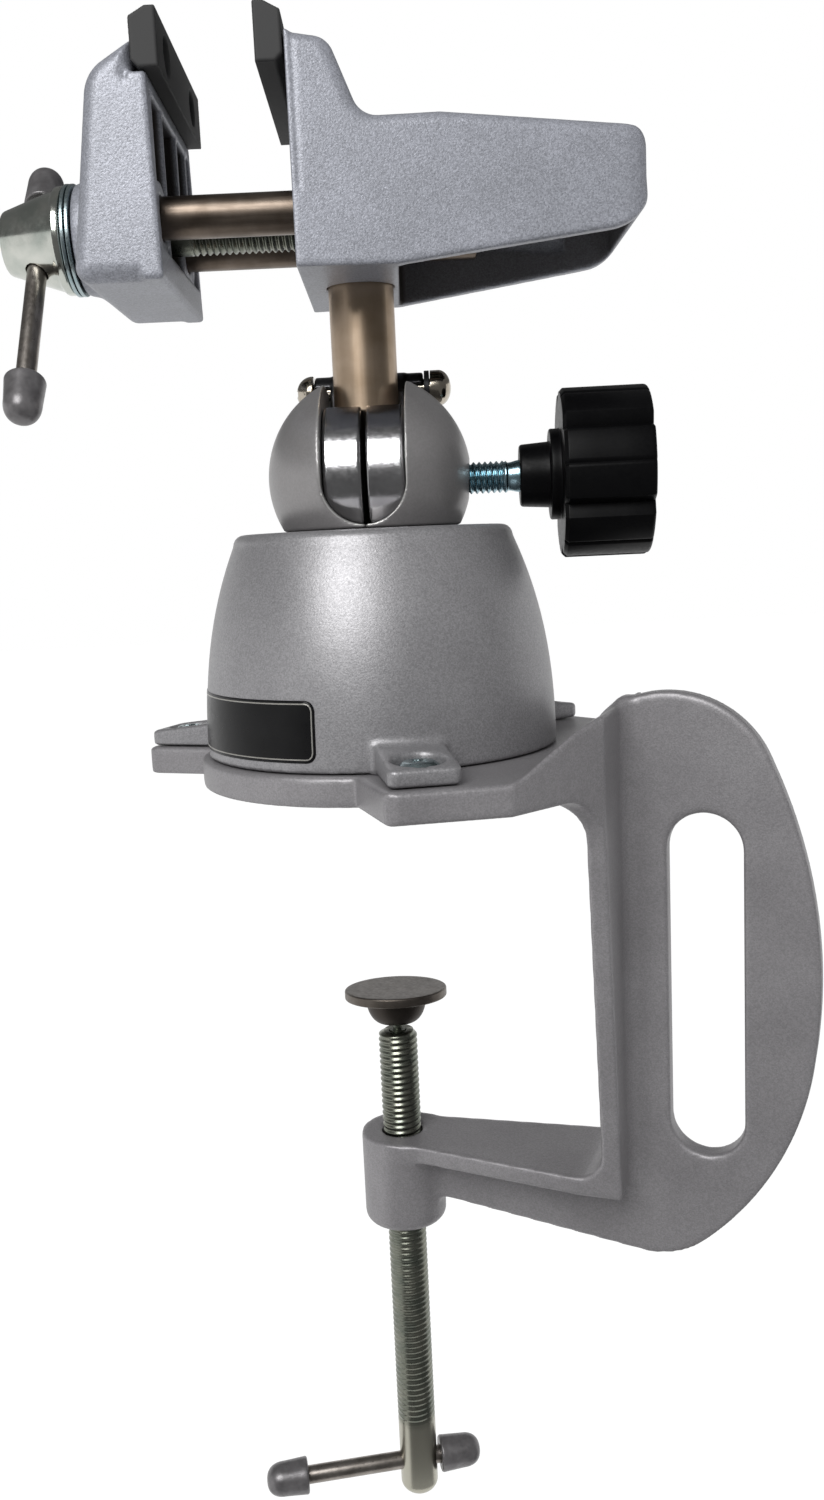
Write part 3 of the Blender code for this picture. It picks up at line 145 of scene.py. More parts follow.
@dataclass(frozen=True)
class Finish:
    """A surface finish: two close colours in soft patches, a grain in relief, and uneven gloss.

    The grain can be stretched along an axis, as the lines of a ground or drawn bar are.
    """

    name: str
    slot: Slot
    colour: str
    shade: str
    metallic: float
    roughness: float
    rough_spread: float
    mottle_mm: float
    grain_mm: float
    grain_depth_mm: float
    stretch: Point = (1.0, 1.0, 1.0)
    # A second colour and its roughness where the mesh marks them: bare and worn metal, and on some pieces
    # painted shade and painted light.
    bare_and_painted_light: str = ""
    bare_and_painted_light_roughness: float = 0.3
    specular: float = 0.5

    def material(self) -> bpy.types.Material:
        """Gives the finish's material, made at its first use."""
        made = bpy.data.materials.get(self.name)
        if made is None:
            made = bpy.data.materials.new(self.name)
            made.use_nodes = True
            made.node_tree.nodes.clear()
            self.paint(made.node_tree)
        return made

    def colours(self, tree: bpy.types.NodeTree, place: bpy.types.NodeSocket) -> bpy.types.NodeSocket:
        """Mixes the two colours in patches of the mottle's size.

        Args:
            tree: the material's node tree.
            place: Object coordinates.

        Returns:
            The colour's output socket.
        """
        patches = add(tree, "TexNoise", {"Vector": place, "Scale": 1.0 / (self.mottle_mm * MM),
                                         "Detail": 4.0})
        spread = add(tree, "MapRange", {"Value": patches.outputs["Fac"], "From Min": PATCH_RANGE[0],
                                        "From Max": PATCH_RANGE[1]})
        mixed = add(tree, "Mix", {0: spread.outputs[0], 6: linear(self.colour), 7: linear(self.shade)},
                    data_type="RGBA")
        return mixed.outputs[2]

    def relief(self, tree: bpy.types.NodeTree, place: bpy.types.NodeSocket) -> bpy.types.NodeSocket:
        """Gives the height of the grain, between 0 and 1.

        Args:
            tree: the material's node tree.
            place: Object coordinates.

        Returns:
            The height's output socket.
        """
        drawn = add(tree, "Mapping", {"Vector": place, "Scale": self.stretch})
        grain = add(tree, "TexNoise", {"Vector": drawn.outputs[0], "Scale": 1.0 / (self.grain_mm * MM),
                                       "Detail": 3.0})
        return grain.outputs["Fac"]

    def paint(self, tree: bpy.types.NodeTree) -> None:
        """Builds the nodes: colour patches, uneven gloss, grain, and a second colour where it is marked: bare
        and worn metal, and on some pieces painted shade and painted light.

        Args:
            tree: the material's empty node tree.
        """
        place = add(tree, "TexCoord").outputs["Object"]
        colour = self.colours(tree, place)
        height = self.relief(tree, place)
        gloss = add(tree, "MapRange", {
            "Value": height, "From Min": GLOSS_RANGE[0], "From Max": GLOSS_RANGE[1],
            "To Min": self.roughness - self.rough_spread, "To Max": self.roughness + self.rough_spread})
        rough = gloss.outputs[0]
        if self.bare_and_painted_light:
            marked = add(tree, "Attribute", attribute_name="bare_and_painted_light").outputs["Fac"]
            colour = add(tree, "Mix", {0: marked, 6: colour, 7: linear(self.bare_and_painted_light)},
                         data_type="RGBA").outputs[2]
            rough = add(tree, "Mix", {0: marked, 2: rough, 3: self.bare_and_painted_light_roughness}).outputs[0]
        bump = add(tree, "Bump", {"Height": height, "Distance": self.grain_depth_mm * MM, "Strength": 1.0})
        shader = add(tree, "BsdfPrincipled", {
            "Base Color": colour, "Roughness": rough, "Metallic": self.metallic,
            "Specular IOR Level": self.specular, "Normal": bump.outputs["Normal"]})
        add(tree, "OutputMaterial", {"Surface": shader.outputs[0]})


@dataclass(frozen=True)
class SprayedCasting(Finish):
    """A die casting sprayed with aluminium lacquer: fine flakes that catch the light one by one."""

    flake_mm: float = 0.42
    flake_share: float = 0.2

    def colours(self, tree: bpy.types.NodeTree, place: bpy.types.NodeSocket) -> bpy.types.NodeSocket:
        """Scatters lighter and darker flakes over the lacquer's colour.

        Args:
            tree: the material's node tree.
            place: Object coordinates.

        Returns:
            The colour's output socket.
        """
        base = super().colours(tree, place)
        flakes = add(tree, "TexVoronoi", {"Vector": place, "Scale": 1.0 / (self.flake_mm * MM)})
        tone = add(tree, "SeparateColor", {0: flakes.outputs["Color"]}).outputs[0]
        strength = add(tree, "MapRange", {"Value": tone, "To Min": 1.0 - self.flake_share,
                                          "To Max": 1.0 + self.flake_share}).outputs[0]
        lit = add(tree, "VectorMath", {0: base, "Scale": strength}, operation="SCALE")
        return lit.outputs[0]


# A finish's numbers are, in order: metallic, roughness and its spread, then the size of the colour patches,
# the size of the grain and its depth, in millimetres.

# Aluminium lacquer on the domed base: a cool neutral grey with a grainy sparkle and a soft sheen.
# Flakes are really about 0.05 mm; they are drawn near 0.3 mm so that they show.
BASE_LACQUER = SprayedCasting("sprayed_base_casting", Slot.CASTING, "#919092", "#878688", 0.5, 0.42, 0.05,
                              18.0, 0.45, 0.042, flake_mm=0.3, flake_share=0.17)
# The same lacquer on the clamp, laid on thinner: a shade darker and duller.
CLAMP_LACQUER = SprayedCasting("sprayed_clamp_casting", Slot.CASTING, "#8C8A8C", "#828082", 0.42, 0.44, 0.05,
                               18.0, 0.45, 0.04, flake_mm=0.3, flake_share=0.13)
# The same lacquer on the ball, laid on smoother, with machined edges left bare around its slot.
BALL_LACQUER = SprayedCasting("sprayed_ball_casting", Slot.CASTING, "#8E8C8C", "#858383", 0.55, 0.36, 0.04,
                              14.0, 0.9, 0.006, bare_and_painted_light="#B5B5B2", bare_and_painted_light_roughness=0.25, flake_share=0.05)
# Lighter, cooler lacquer on the two jaws, with a pebbled grain. Their hollows are painted a dark brownish
# grey, a painted shade.
HEAD_LACQUER = SprayedCasting("sprayed_jaw_casting", Slot.HEAD, "#91939B", "#86888F", 0.25, 0.42, 0.06,
                              16.0, 0.45, 0.09, flake_mm=0.3, flake_share=0.24, bare_and_painted_light="#332E2B",
                              bare_and_painted_light_roughness=0.6)
# Ground bar, lightly browned by oil: fine lines along the bar, drawn at about 0.6 mm. The post is painted
# near black where the drum grips it, a painted shade.
POST_STEEL = Finish("ground_post_steel", Slot.STEEL, "#B4A18D", "#988570", 1.0, 0.36, 0.06, 9.0, 3.0, 0.006,
                    stretch=(5.0, 5.0, 0.1), bare_and_painted_light="#191613", bare_and_painted_light_roughness=0.6)
ROD_STEEL = Finish("ground_rod_steel", Slot.STEEL, "#756A60", "#5D534A", 1.0, 0.38, 0.07, 5.0, 3.0, 0.006,
                   stretch=(0.3, 5.0, 5.0))
# Yellowish clear zinc on the screws: dull in the threads, bright and creamy on the plain ends.
SCREW_ZINC = Finish("zinc_plated_screw", Slot.ZINC, "#838479", "#6B7067", 1.0, 0.3, 0.06, 4.0, 0.8, 0.006,
                    bare_and_painted_light="#AFADA0", bare_and_painted_light_roughness=0.3)
# The same zinc on the handle cone, bright with faint greenish clouds.
CONE_ZINC = Finish("zinc_plated_cone", Slot.ZINC, "#CBCCC5", "#AEB4AD", 1.0, 0.17, 0.04, 6.0, 1.2, 0.006)
# Blue clear zinc on the pads' screws and the knob's stud.
BLUE_ZINC = Finish("blue_zinc_plate", Slot.BLUE_ZINC, "#A3BEC8", "#7F9FAA", 1.0, 0.25, 0.06, 3.0, 0.6, 0.005)
# Paler zinc on the screws of the base and the thrust washers.
PALE_ZINC = Finish("pale_zinc_plate", Slot.BLUE_ZINC, "#A9B5B7", "#8FA1A5", 1.0, 0.3, 0.06, 3.0, 0.6, 0.008)
# Bright chrome on the split drum, lightly rippled by the polishing under it. The ears are painted dark grey,
# a painted shade and painted dark reflection.
CHROME = Finish("polished_chrome", Slot.CHROME, "#B4B4B5", "#A09FA1", 1.0, 0.19, 0.05, 5.0, 1.1, 0.02,
                bare_and_painted_light="#4A4A4C")
# Nickel on the pinch bolt and nut, a little warm.
NICKEL = Finish("nickel_plate", Slot.CHROME, "#BEB6A9", "#A19A8D", 1.0, 0.16, 0.04, 3.0, 0.8, 0.006)
# Dark oiled steel on the bars: drawn lines and a dull grey sheen.
DARK_STEEL = Finish("oiled_dark_steel", Slot.DARK_STEEL, "#A09A94", "#7E7872", 1.0, 0.34, 0.08, 5.0, 0.9,
                    0.01)
# Pressed steel of the swivel pad: brownish and dull, with a painted shade in its bowl under the disc.
PAD_STEEL = Finish("pressed_pad_steel", Slot.DARK_STEEL, "#6E6862", "#5A544E", 1.0, 0.42, 0.08, 5.0, 0.9,
                   0.012, bare_and_painted_light="#46413D", bare_and_painted_light_roughness=0.5)
# Blackened steel of the pinch washer and the clip, dull and even.
BLACK_WASHER = Finish("blackened_steel", Slot.DARK_STEEL, "#2F2F31", "#252527", 0.6, 0.45, 0.05, 3.0, 0.5,
                      0.006)
# Moulded phenolic of the knob: deep black, satin, with a faint moulded grain.
BLACK_PHENOLIC = Finish("moulded_black_phenolic", Slot.PLASTIC, "#060607", "#09090A", 0.0, 0.38, 0.07, 7.0,
                        0.8, 0.008, specular=0.09)
# Black nylon of the jaw pads, sawn and dull. The grip face is rubbed to a brownish grey and painted lighter
# still, a painted light where it lies in shade between the jaws.
PAD_NYLON = Finish("black_nylon", Slot.NYLON, "#191A1C", "#212224", 0.0, 0.6, 0.06, 5.0, 0.6, 0.012,
                   bare_and_painted_light="#C6BCB0", bare_and_painted_light_roughness=0.5, specular=0.25)
# Dipped dark grey vinyl on the bar ends: dull, slightly lumpy.
CAP_VINYL = Finish("dipped_grey_vinyl", Slot.CAP, "#737172", "#5A5859", 0.5, 0.34, 0.07, 2.6, 0.9, 0.02)
# Plain turned brass of the thrust plug.
BRASS = Finish("turned_brass", Slot.BRASS, "#B08D4C", "#9A7A40", 1.0, 0.3, 0.05, 4.0, 0.6, 0.004)
# Printed label stock: gloss black with a silver line.
LABEL_BLACK = Finish("gloss_black_label", Slot.PLASTIC, "#0B0B0C", "#111112", 0.0, 0.3, 0.04, 6.0, 1.5, 0.004,
                     specular=0.15)
LABEL_SILVER = Finish("silver_label_line", Slot.CHROME, "#A09E99", "#918F8A", 0.6, 0.35, 0.05, 3.0, 1.0,
                      0.002)


def place(at: Point = (0.0, 0.0, 0.0), turn: float = 0.0, axis: str = "Z") -> Matrix:
    """A placement in millimetres: a turn in degrees about an axis, then a shift."""
    return Matrix.Translation(at) @ Matrix.Rotation(math.radians(turn), 4, axis)


# Carries a piece that is turned about local z onto the X axis, keeping its handedness.
ALONG_X = Matrix(((0, 0, 1, 0), (1, 0, 0, 0), (0, 1, 0, 0), (0, 0, 0, 1)))


def arc(centre: Pair, radius: float, start: float, end: float, steps: int = 24) -> Array:
    """Points of (u, v) on a circle from a start angle to an end angle in degrees."""
    angles = np.radians(np.linspace(start, end, steps + 1))
    return np.stack([centre[0] + radius * np.cos(angles), centre[1] + radius * np.sin(angles)], -1)


def rounded(corners: list[Point], steps: int = 10) -> Array:
    """Replaces each corner of (u, v, radius) by the arc of that radius that touches both its sides.

    Args:
        corners: the outline's corners in order, with radius 0 for a sharp one.
        steps: parts of each arc.

    Returns:
        The outline as an array of (u, v).
    """
    runs = []
    for i, (u, v, radius) in enumerate(corners):
        corner = np.array((u, v))
        if radius == 0.0:
            runs.append(corner[None])
            continue
        before = np.array(corners[i - 1][:2]) - corner
        after = np.array(corners[(i + 1) % len(corners)][:2]) - corner
        before = before / np.hypot(*before)
        after = after / np.hypot(*after)
        half = math.acos(np.clip(before @ after, -1.0, 1.0)) / 2.0
        middle = (before + after) / np.hypot(*(before + after))
        centre = corner + middle * radius / math.sin(half)
        first = corner + before * radius / math.tan(half) - centre
        last = corner + after * radius / math.tan(half) - centre
        start = math.atan2(first[1], first[0])
        sweep = math.remainder(math.atan2(last[1], last[0]) - start, 2.0 * math.pi)
        runs.append(arc(tuple(centre), radius, math.degrees(start), math.degrees(start + sweep), steps))
    return np.concatenate(runs)


def mirrored(half: list[tuple]) -> list[tuple]:
    """Closes a half outline of (u, v, ...) with its mirror image in v."""
    return half + [(u, -v, *rest) for u, v, *rest in reversed(half)]


def capsule(half_width: float, low: float, high: float) -> Array:
    """An upright slot outline with round ends, around u = 0."""
    top = arc((0.0, high - half_width), half_width, 0.0, 180.0)
    foot = arc((0.0, low + half_width), half_width, 180.0, 360.0)
    return np.concatenate([top, foot])


def outline_distance(u: Array, v: Array, outline: Array) -> Array:
    """Signed distance to a closed outline in its plane.

    It is the least distance to any side, negative where the sides wind around the point.

    Args:
        u: first coordinate of the points.
        v: second coordinate of the points, which broadcasts with u.
        outline: corners in order.

    Returns:
        The distance at each point.
    """
    start = np.asarray(outline, np.float32)
    end = np.roll(start, -1, axis=0)
    keep = np.hypot(*(end - start).T) > 1e-5
    start, end = start[keep], end[keep]
    side = end - start
    du = u[..., None] - start[:, 0]
    dv = v[..., None] - start[:, 1]
    share = np.clip((du * side[:, 0] + dv * side[:, 1]) / (side ** 2).sum(1), 0.0, 1.0)
    gap = np.hypot(du - share * side[:, 0], dv - share * side[:, 1]).min(-1)
    left = side[:, 0] * dv - side[:, 1] * du
    from_low = dv >= 0.0
    to_high = v[..., None] < end[:, 1]
    winding = (from_low & to_high & (left > 0.0)).sum(-1) - (~from_low & ~to_high & (left < 0.0)).sum(-1)
    return np.where(winding != 0, -gap, gap)


def slab(level: Array, low: float, high: float) -> Array:
    """Signed distance to the space between two levels."""
    return np.maximum(low - level, level - high)


def meet(a: Array, b: Array, radius: float | Array = 0.0) -> Array:
    """The space in both solids, with the edge where they meet rounded to the radius."""
    corner = np.hypot(np.maximum(radius + a, 0.0), np.maximum(radius + b, 0.0))
    return np.minimum(-radius, np.maximum(a, b)) + corner


def join(a: Array, b: Array, radius: float = 0.0) -> Array:
    """The space in either solid, with the inner corner where they join filled to the radius."""
    return -meet(-a, -b, radius)


def carve(a: Array, b: Array, radius: float = 0.0) -> Array:
    """The first solid without the second, with the mouth of the cut rounded to the radius."""
    return meet(a, -b, radius)


def ease(level: Array, start: float, end: float) -> Array:
    """A smooth step from 0 at the start level to 1 at the end level."""
    share = np.clip((level - start) / (end - start), 0.0, 1.0)
    return share * share * (3.0 - 2.0 * share)


class Lattice:
    """A box of evenly spaced points on which signed distances are worked out."""

    def __init__(self, low: Point, high: Point, step: float) -> None:
        """Spreads points over a box.

        Args:
            low: the box's lowest corner.
            high: the box's highest corner.
            step: the spacing of the points.
        """
        self.low = np.array(low, float)
        self.step = step
        counts = np.ceil((np.array(high) - self.low) / step).astype(int) + 1
        axes = [(self.low[i] + step * np.arange(counts[i])).astype(np.float32) for i in range(3)]
        self.x, self.y, self.z = np.meshgrid(*axes, indexing="ij", sparse=True)

    def turned(self, profile: Array) -> Array:
        """Signed distance to a profile of (radius, level) turned about z.

        The distance is worked out once in the profile's half plane and read off at each point's radius.

        Args:
            profile: from pole to pole, or around a ring's section.

        Returns:
            The distance at each point of the lattice.
        """
        radius = np.hypot(self.x, self.y)[:, :, 0]
        samples = np.arange(0.0, radius.max() + 2.0 * self.step, self.step / 2.0, dtype=np.float32)
        other_side = np.asarray(profile)[::-1] * (-1.0, 1.0)
        on_axis = min(profile[0][0], profile[-1][0]) == 0.0
        outline = np.concatenate([profile, other_side]) if on_axis else profile
        table = outline_distance(samples[:, None], self.z[0, 0][None, :], outline)
        spot = radius / (self.step / 2.0)
        low = spot.astype(int)
        share = (spot - low)[..., None]
        return table[low] * (1.0 - share) + table[low + 1] * share

    def skin(self, distance: Array) -> Surface:
        """Skins a solid where its distance is zero.

        Args:
            distance: signed distance at each point of the lattice.

        Returns:
            Points in millimetres and quads that face outwards.
        """
        reach = 3.0 * self.step
        full = np.broadcast_to(distance, np.broadcast_shapes(self.x.shape, self.y.shape, self.z.shape))
        volume = openvdb.FloatGrid(reach)
        volume.copyFromArray(np.ascontiguousarray(np.clip(full, -reach, reach), np.float32))
        points, quads = volume.convertToQuads(0.0)
        return points * self.step + self.low, quads.astype(int)


def grid(points: Array, wrap: bool = True) -> Surface:
    """Makes quads over a grid of points.

    Args:
        points: rows along the first index, columns along the second.
        wrap: closes each row onto its start.

    Returns:
        Points and quads.
    """
    rows, columns = points.shape[:2]
    i = np.arange(rows - 1)[:, None]
    j = np.arange(columns if wrap else columns - 1)[None, :]
    k = (j + 1) % columns
    quads = np.stack([i * columns + j, i * columns + k, (i + 1) * columns + k, (i + 1) * columns + j], -1)
    return points.reshape(-1, 3), quads.reshape(-1, 4)


def even_angles(steps: int) -> Array:
    """The angles of a full circle's even parts."""
    return 2.0 * np.pi * np.arange(steps) / steps


def around(radius: Array, level: Array) -> Surface:
    """Bends a grid of radii and levels about z: each column is one of the even angles of a full circle.

    Args:
        radius: radius at each row and column.
        level: level at each row, which broadcasts with the radius.

    Returns:
        Points and quads.
    """
    angle = even_angles(radius.shape[1])
    level = np.broadcast_to(level, radius.shape)
    return grid(np.stack([radius * np.cos(angle), radius * np.sin(angle), level], -1))


def lathe(profile: Array | list, steps: int, ring: bool = False) -> Surface:
    """Turns a profile of (radius, level) about z, as a grid over the profile and the angle.

    Args:
        profile: from pole to pole, or around a ring's section.
        steps: parts of the full circle.
        ring: closes the profile onto its start.

    Returns:
        Points and quads.
    """
    line = np.asarray(profile, float)
    if ring:
        line = np.concatenate([line, line[:1]])
    return around(np.broadcast_to(line[:, :1], (len(line), steps)), line[:, 1:])


def pin(radius: float, low: float, high: float, edge: float, steps: int = 4) -> Array:
    """A plain pin's profile from pole to pole, with both its edges rounded."""
    return rounded([(0.0, low, 0.0), (radius, low, edge), (radius, high, edge), (0.0, high, 0.0)], steps)


def thread_rows(start: float, end: float, pitch: float) -> Array:
    """Levels of a screw's rows, with both ends doubled so that they can close onto the axis."""
    return np.concatenate([[start], np.arange(start, end, pitch / THREAD_ROWS), [end, end]])


def threaded(levels: Array, envelope: Array, depth: Array, pitch: float, steps: int = 48) -> Surface:
    """A right-hand screw: the radius falls from its envelope by a V that climbs one pitch a turn.

    Args:
        levels: rows along the screw's axis, z.
        envelope: outer radius at each row, 0 at both ends.
        depth: depth of the thread at each row.
        pitch: climb of the thread in a turn.
        steps: parts of the full circle.

    Returns:
        Points and quads.
    """
    phase = (levels[:, None] / pitch - even_angles(steps)[None, :] / (2.0 * np.pi)) % 1.0
    valley = np.clip(THREAD_STEEP * (1.0 - np.abs(2.0 * phase - 1.0)) - THREAD_FLAT, 0.0, 1.0)
    return around(np.maximum(envelope[:, None] - depth[:, None] * valley, 0.0), levels[:, None])


def show(name: str, surface: Surface, where: Matrix, finish: Finish, body: Body, *nodes: str,
         sharp: float = 0.0, bare_and_painted_light: Array | None = None) -> bpy.types.Object:
    """Puts a surface into the scene, at its place in the vise, riding on its body.

    Args:
        name: the piece's name.
        surface: points in millimetres and quads, in the piece's own frame.
        where: placement of that frame in the vise.
        finish: the piece's finish.
        body: the body that carries it.
        nodes: solids that the piece stands for.
        sharp: angle in degrees above which edges stay sharp, or 0 to shade all of it smooth.
        bare_and_painted_light: for each point, how much of the finish's second colour it takes: bare and worn
            metal, and on some pieces painted shade and painted light.

    Returns:
        The new object.
    """
    points, quads = surface
    turn = np.array(where.to_3x3())
    world = (points @ turn.T + np.array(where.translation)) * MM
    mesh = bpy.data.meshes.new(name)
    mesh.vertices.add(len(world))
    mesh.vertices.foreach_set("co", world.astype(np.float32).ravel())
    mesh.loops.add(quads.size)
    mesh.loops.foreach_set("vertex_index", quads.astype(np.int32).ravel())
    mesh.polygons.add(len(quads))
    mesh.polygons.foreach_set("loop_start", np.arange(0, quads.size, 4, dtype=np.int32))
    mesh.update(calc_edges=True)
    if bare_and_painted_light is not None:
        mark = mesh.attributes.new("bare_and_painted_light", "FLOAT", "POINT")
        mark.data.foreach_set("value", bare_and_painted_light.astype(np.float32))
    clean = bmesh.new()
    clean.from_mesh(mesh)
    bmesh.ops.remove_doubles(clean, verts=clean.verts, dist=WELD * MM)
    if clean.calc_volume(signed=True) < 0.0:
        bmesh.ops.reverse_faces(clean, faces=clean.faces)
    clean.to_mesh(mesh)
    clean.free()
    mesh.shade_smooth()
    if sharp:
        mesh.set_sharp_from_angle(angle=math.radians(sharp))
    mesh.materials.append(finish.material())
    made = bpy.data.objects.new(name, mesh)
    bpy.context.scene.collection.objects.link(made)
    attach(made, body.value)
    if nodes:
        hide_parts(*nodes)
    log.info("%s: %d faces on %s", name, len(mesh.polygons), body.value)
    return made


def cross_recess(x: Array, y: Array, below: Array, width: float, reach: float, depth: float) -> Array:
    """Signed distance to a cross shaped driver recess: two slots that narrow to a point.

    Args:
        x: first coordinate across the head.
        y: second coordinate across the head.
        below: distance below the head's top.
        width: width of the slots.
        reach: half length of the slots at the top.
        depth: depth of the point.

    Returns:
        The distance at each point.
    """
    taper = np.clip(1.0 - below / depth, 0.0, 1.2)
    # The slots have their full width at the top and seven tenths of it at the point.
    half = width * (0.35 + 0.15 * taper)
    slots = [meet(np.abs(u) - half, np.abs(v) - reach * taper) for u, v in ((x, y), (y, x))]
    return meet(join(slots[0], slots[1], width * 0.3), below - depth)


@dataclass
class BenchMount:
    """The clamp casting, the domed housing on it, its screws and the plain label plate."""

    turn: float = -21.0
    plate_t: float = 7.2
    plate_r: float = 46.0
    ear_end: float = 66.7
    back_ear_end: float = 64.6
    ear_half: float = 9.1
    ear_flare: float = 4.5
    wing_half: float = 18.0
    ear_corner: float = 2.0
    throat: float = 97.4
    flange_x: float = 57.9
    flange_t: float = 4.7
    flange_top_half: float = 22.6
    flange_low_half: float = 14.9
    flange_flare: float = 10.0
    flare_h: float = 15.0
    ramp_foot: float = 48.9
    ramp_rise: float = 8.6
    flange_rise: float = 11.3
    inner_fillet: float = 7.0
    throat_fillet: float = 10.0
    arm_boss_half: float = 9.2
    rib_t: float = 6.0
    rib_boss_depth: float = 16.0
    rib_fillet: float = 4.2
    boss_fillet: float = 2.6
    slot_x: float = 81.5
    slot_w: float = 17.8
    slot_l: float = 85.6
    slot_drop: float = 7.7
    boss_r: float = 10.9
    boss_h: float = 25.0
    screw_r: float = 5.15
    cast_edge: float = 1.0
    crisp_edge: float = 0.6
    ramp_soft: float = 0.8
    boss_edge: float = 0.8
    boss_foot_edge: float = 2.5
    bore_above: float = 20.0
    bore_edge: float = 0.5
    rib_arcs: tuple[tuple[Pair, float, float, float, int], ...] = (
        ((72.9, -4.6), 25.7, 114.5, 21.0, 30),
        ((-20.3, -47.9), 128.4, 22.6, -7.4, 30),
        ((29.2, -57.3), 78.1, -9.5, -49.1, 30),
        ((67.26, -101.2), 20.0, -49.1, -97.3, 16),
    )
    housing_r: float = 44.2
    housing_rim_r: float = 34.9
    housing_rim_z: float = 51.5
    housing_curve: float = 2.4
    housing_h: float = 54.3
    housing_wall: float = 3.5
    housing_roof: float = 6.0
    neck_r: float = 19.2
    housing_ear_end: float = 64.0
    housing_ear_half: float = 8.0
    housing_below: float = 5.0
    ear_angles: Point = (180.0, 300.0, 60.0)
    ear_root_h: float = 6.4
    ear_end_h: float = 3.9
    ear_sink: float = 0.6
    ear_edge: float = 0.8
    ear_fillet: float = 1.8
    bolt_circle: float = 56.0
    counterbore_r: float = 5.9
    counterbore_z: float = 2.0
    base_screw_r: float = 2.4
    base_head_r: float = 5.0
    base_head_h: float = 2.3
    base_screw_l: float = 8.0
    base_screw_turn: float = 20.0
    label_azimuth: float = -147.0
    label_z: float = 9.6
    label_half_l: float = 29.5
    label_half_h: float = 7.1
    label_corner: float = 2.4
    label_least_corner: float = 0.3
    label_line: float = 0.32
    label_inset: float = 0.6
    label_proud: float = 0.16
    label_sink: float = 0.2
    line_foot: float = 0.1
    line_top: float = 0.2
    label_rows: int = 24

    @property
    def where(self) -> Matrix:
        """Placement of the mount, turned about the bench's normal."""
        return place(turn=self.turn)

    @property
    def housing_z(self) -> float:
        """Level of the housing's foot."""
        return self.plate_t + SEAT

    @property
    def flange_back(self) -> float:
        """The back face of the flange."""
        return self.flange_x + self.flange_t

    def plate_plan(self) -> Array:
        """Plan of the plate: a disc, an ear at the back, and two ears that spread into the C frame."""
        back, _, front = self.ear_angles
        half_ear = math.degrees(math.asin(self.ear_half / self.plate_r))
        rim = arc((0.0, 0.0), self.plate_r, back - half_ear, front + half_ear + self.ear_flare, steps=40)
        outward = np.array(Matrix.Rotation(math.radians(front), 2))
        corner = outward @ (self.ear_end, self.ear_half)
        tip = outward @ (self.ear_end, -self.wing_half)
        half = [(-self.back_ear_end, self.ear_half, self.ear_corner)]
        half += [(x, y, 0.0) for x, y in rim]
        half += [(*corner, self.ear_corner), (*tip, self.ear_corner)]
        half += [(self.flange_back, self.flange_top_half, 0.0)]
        return rounded(mirrored(half), steps=6)

    def rib_outline(self) -> Array:
        """Side of the D shaped rib: four arcs around its outside, then back along the arm and flange."""
        inside = self.flange_x + self.flange_t / 2.0
        arm = -self.throat - self.flange_t / 2.0
        arcs = [arc(*row) for row in self.rib_arcs]
        tail = [
            (self.boss_r / 2.0, -self.throat - self.rib_boss_depth),
            (self.boss_r / 2.0, arm),
            (inside, arm),
            (inside, self.plate_t + self.ramp_rise),
        ]
        return np.concatenate([*arcs, tail])

    def upright_side(self) -> Array:
        """Side of the flange: an upright with a round inner corner under the plate and over the arm."""
        top, foot = self.flange_x - self.throat_fillet, self.flange_x - self.inner_fillet
        return np.concatenate([
            arc((top, -self.throat_fillet), self.throat_fillet, 90.0, 0.0),
            arc((foot, self.inner_fillet - self.throat), self.inner_fillet, 0.0, -90.0),
            [(foot, -self.throat - self.flange_t), (self.flange_back, -self.throat - self.flange_t),
             (self.flange_back, self.plate_t / 2.0), (top, self.plate_t / 2.0)]])

    def clamp_casting(self) -> None:
        """Plate, flange, arm, boss and rib, joined with cast fillets, then slotted and bored."""
        box = Lattice((-67.6, -61.0, -124.0), (110.0, 61.0, 23.0), step=0.75)
        x, y, z = box.x, box.y, box.z
        plan = outline_distance(x, y, self.plate_plan())
        knots = [self.ramp_foot - self.ramp_soft, self.ramp_foot + self.ramp_soft, self.flange_x,
                 self.flange_back]
        rise = self.ramp_rise * self.ramp_soft / (self.flange_x - self.ramp_foot)
        heights = [0.0, rise, self.ramp_rise, self.flange_rise]
        top = self.plate_t + np.interp(x, knots, heights).astype(np.float32)
        slope = np.hypot(1.0, np.gradient(top[:, 0, 0], box.step))[:, None, None].astype(np.float32)
        plate = meet(plan, np.maximum(-z, (z - top) / slope), self.cast_edge)
        flare = arc((1.0, -1.0), 1.0, 180.0, 90.0) * (self.flange_flare, self.flare_h)
        low = -self.throat - self.flange_t
        half = [(low - self.flange_t, self.flange_low_half), (-self.throat, self.flange_low_half)]
        half += [(level, self.flange_top_half + across) for across, level in flare]
        half += [(self.plate_t, self.flange_top_half + self.flange_flare)]
        taper = outline_distance(z, y, np.array(mirrored(half)))
        flange = meet(outline_distance(x, z, self.upright_side()), taper, self.crisp_edge)
        flange = meet(flange, plan)
        arm_plan = np.array(mirrored([(0.0, self.arm_boss_half),
                                      (self.flange_x - self.inner_fillet, self.flange_low_half),
                                      (self.flange_back, self.flange_low_half)]))
        arm = meet(outline_distance(x, y, arm_plan), slab(z, low, -self.throat), self.crisp_edge)
        frame_field = join(join(plate, flange), arm)
        rib = meet(outline_distance(x, z, self.rib_outline()), np.abs(y) - self.rib_t / 2.0, self.cast_edge)
        foot = -self.throat - self.boss_h
        boss = box.turned(rounded([
            (0.0, -self.throat, 0.0), (self.boss_r, -self.throat, self.boss_edge),
            (self.boss_r, foot, self.boss_foot_edge), (0.0, foot, 0.0)]))
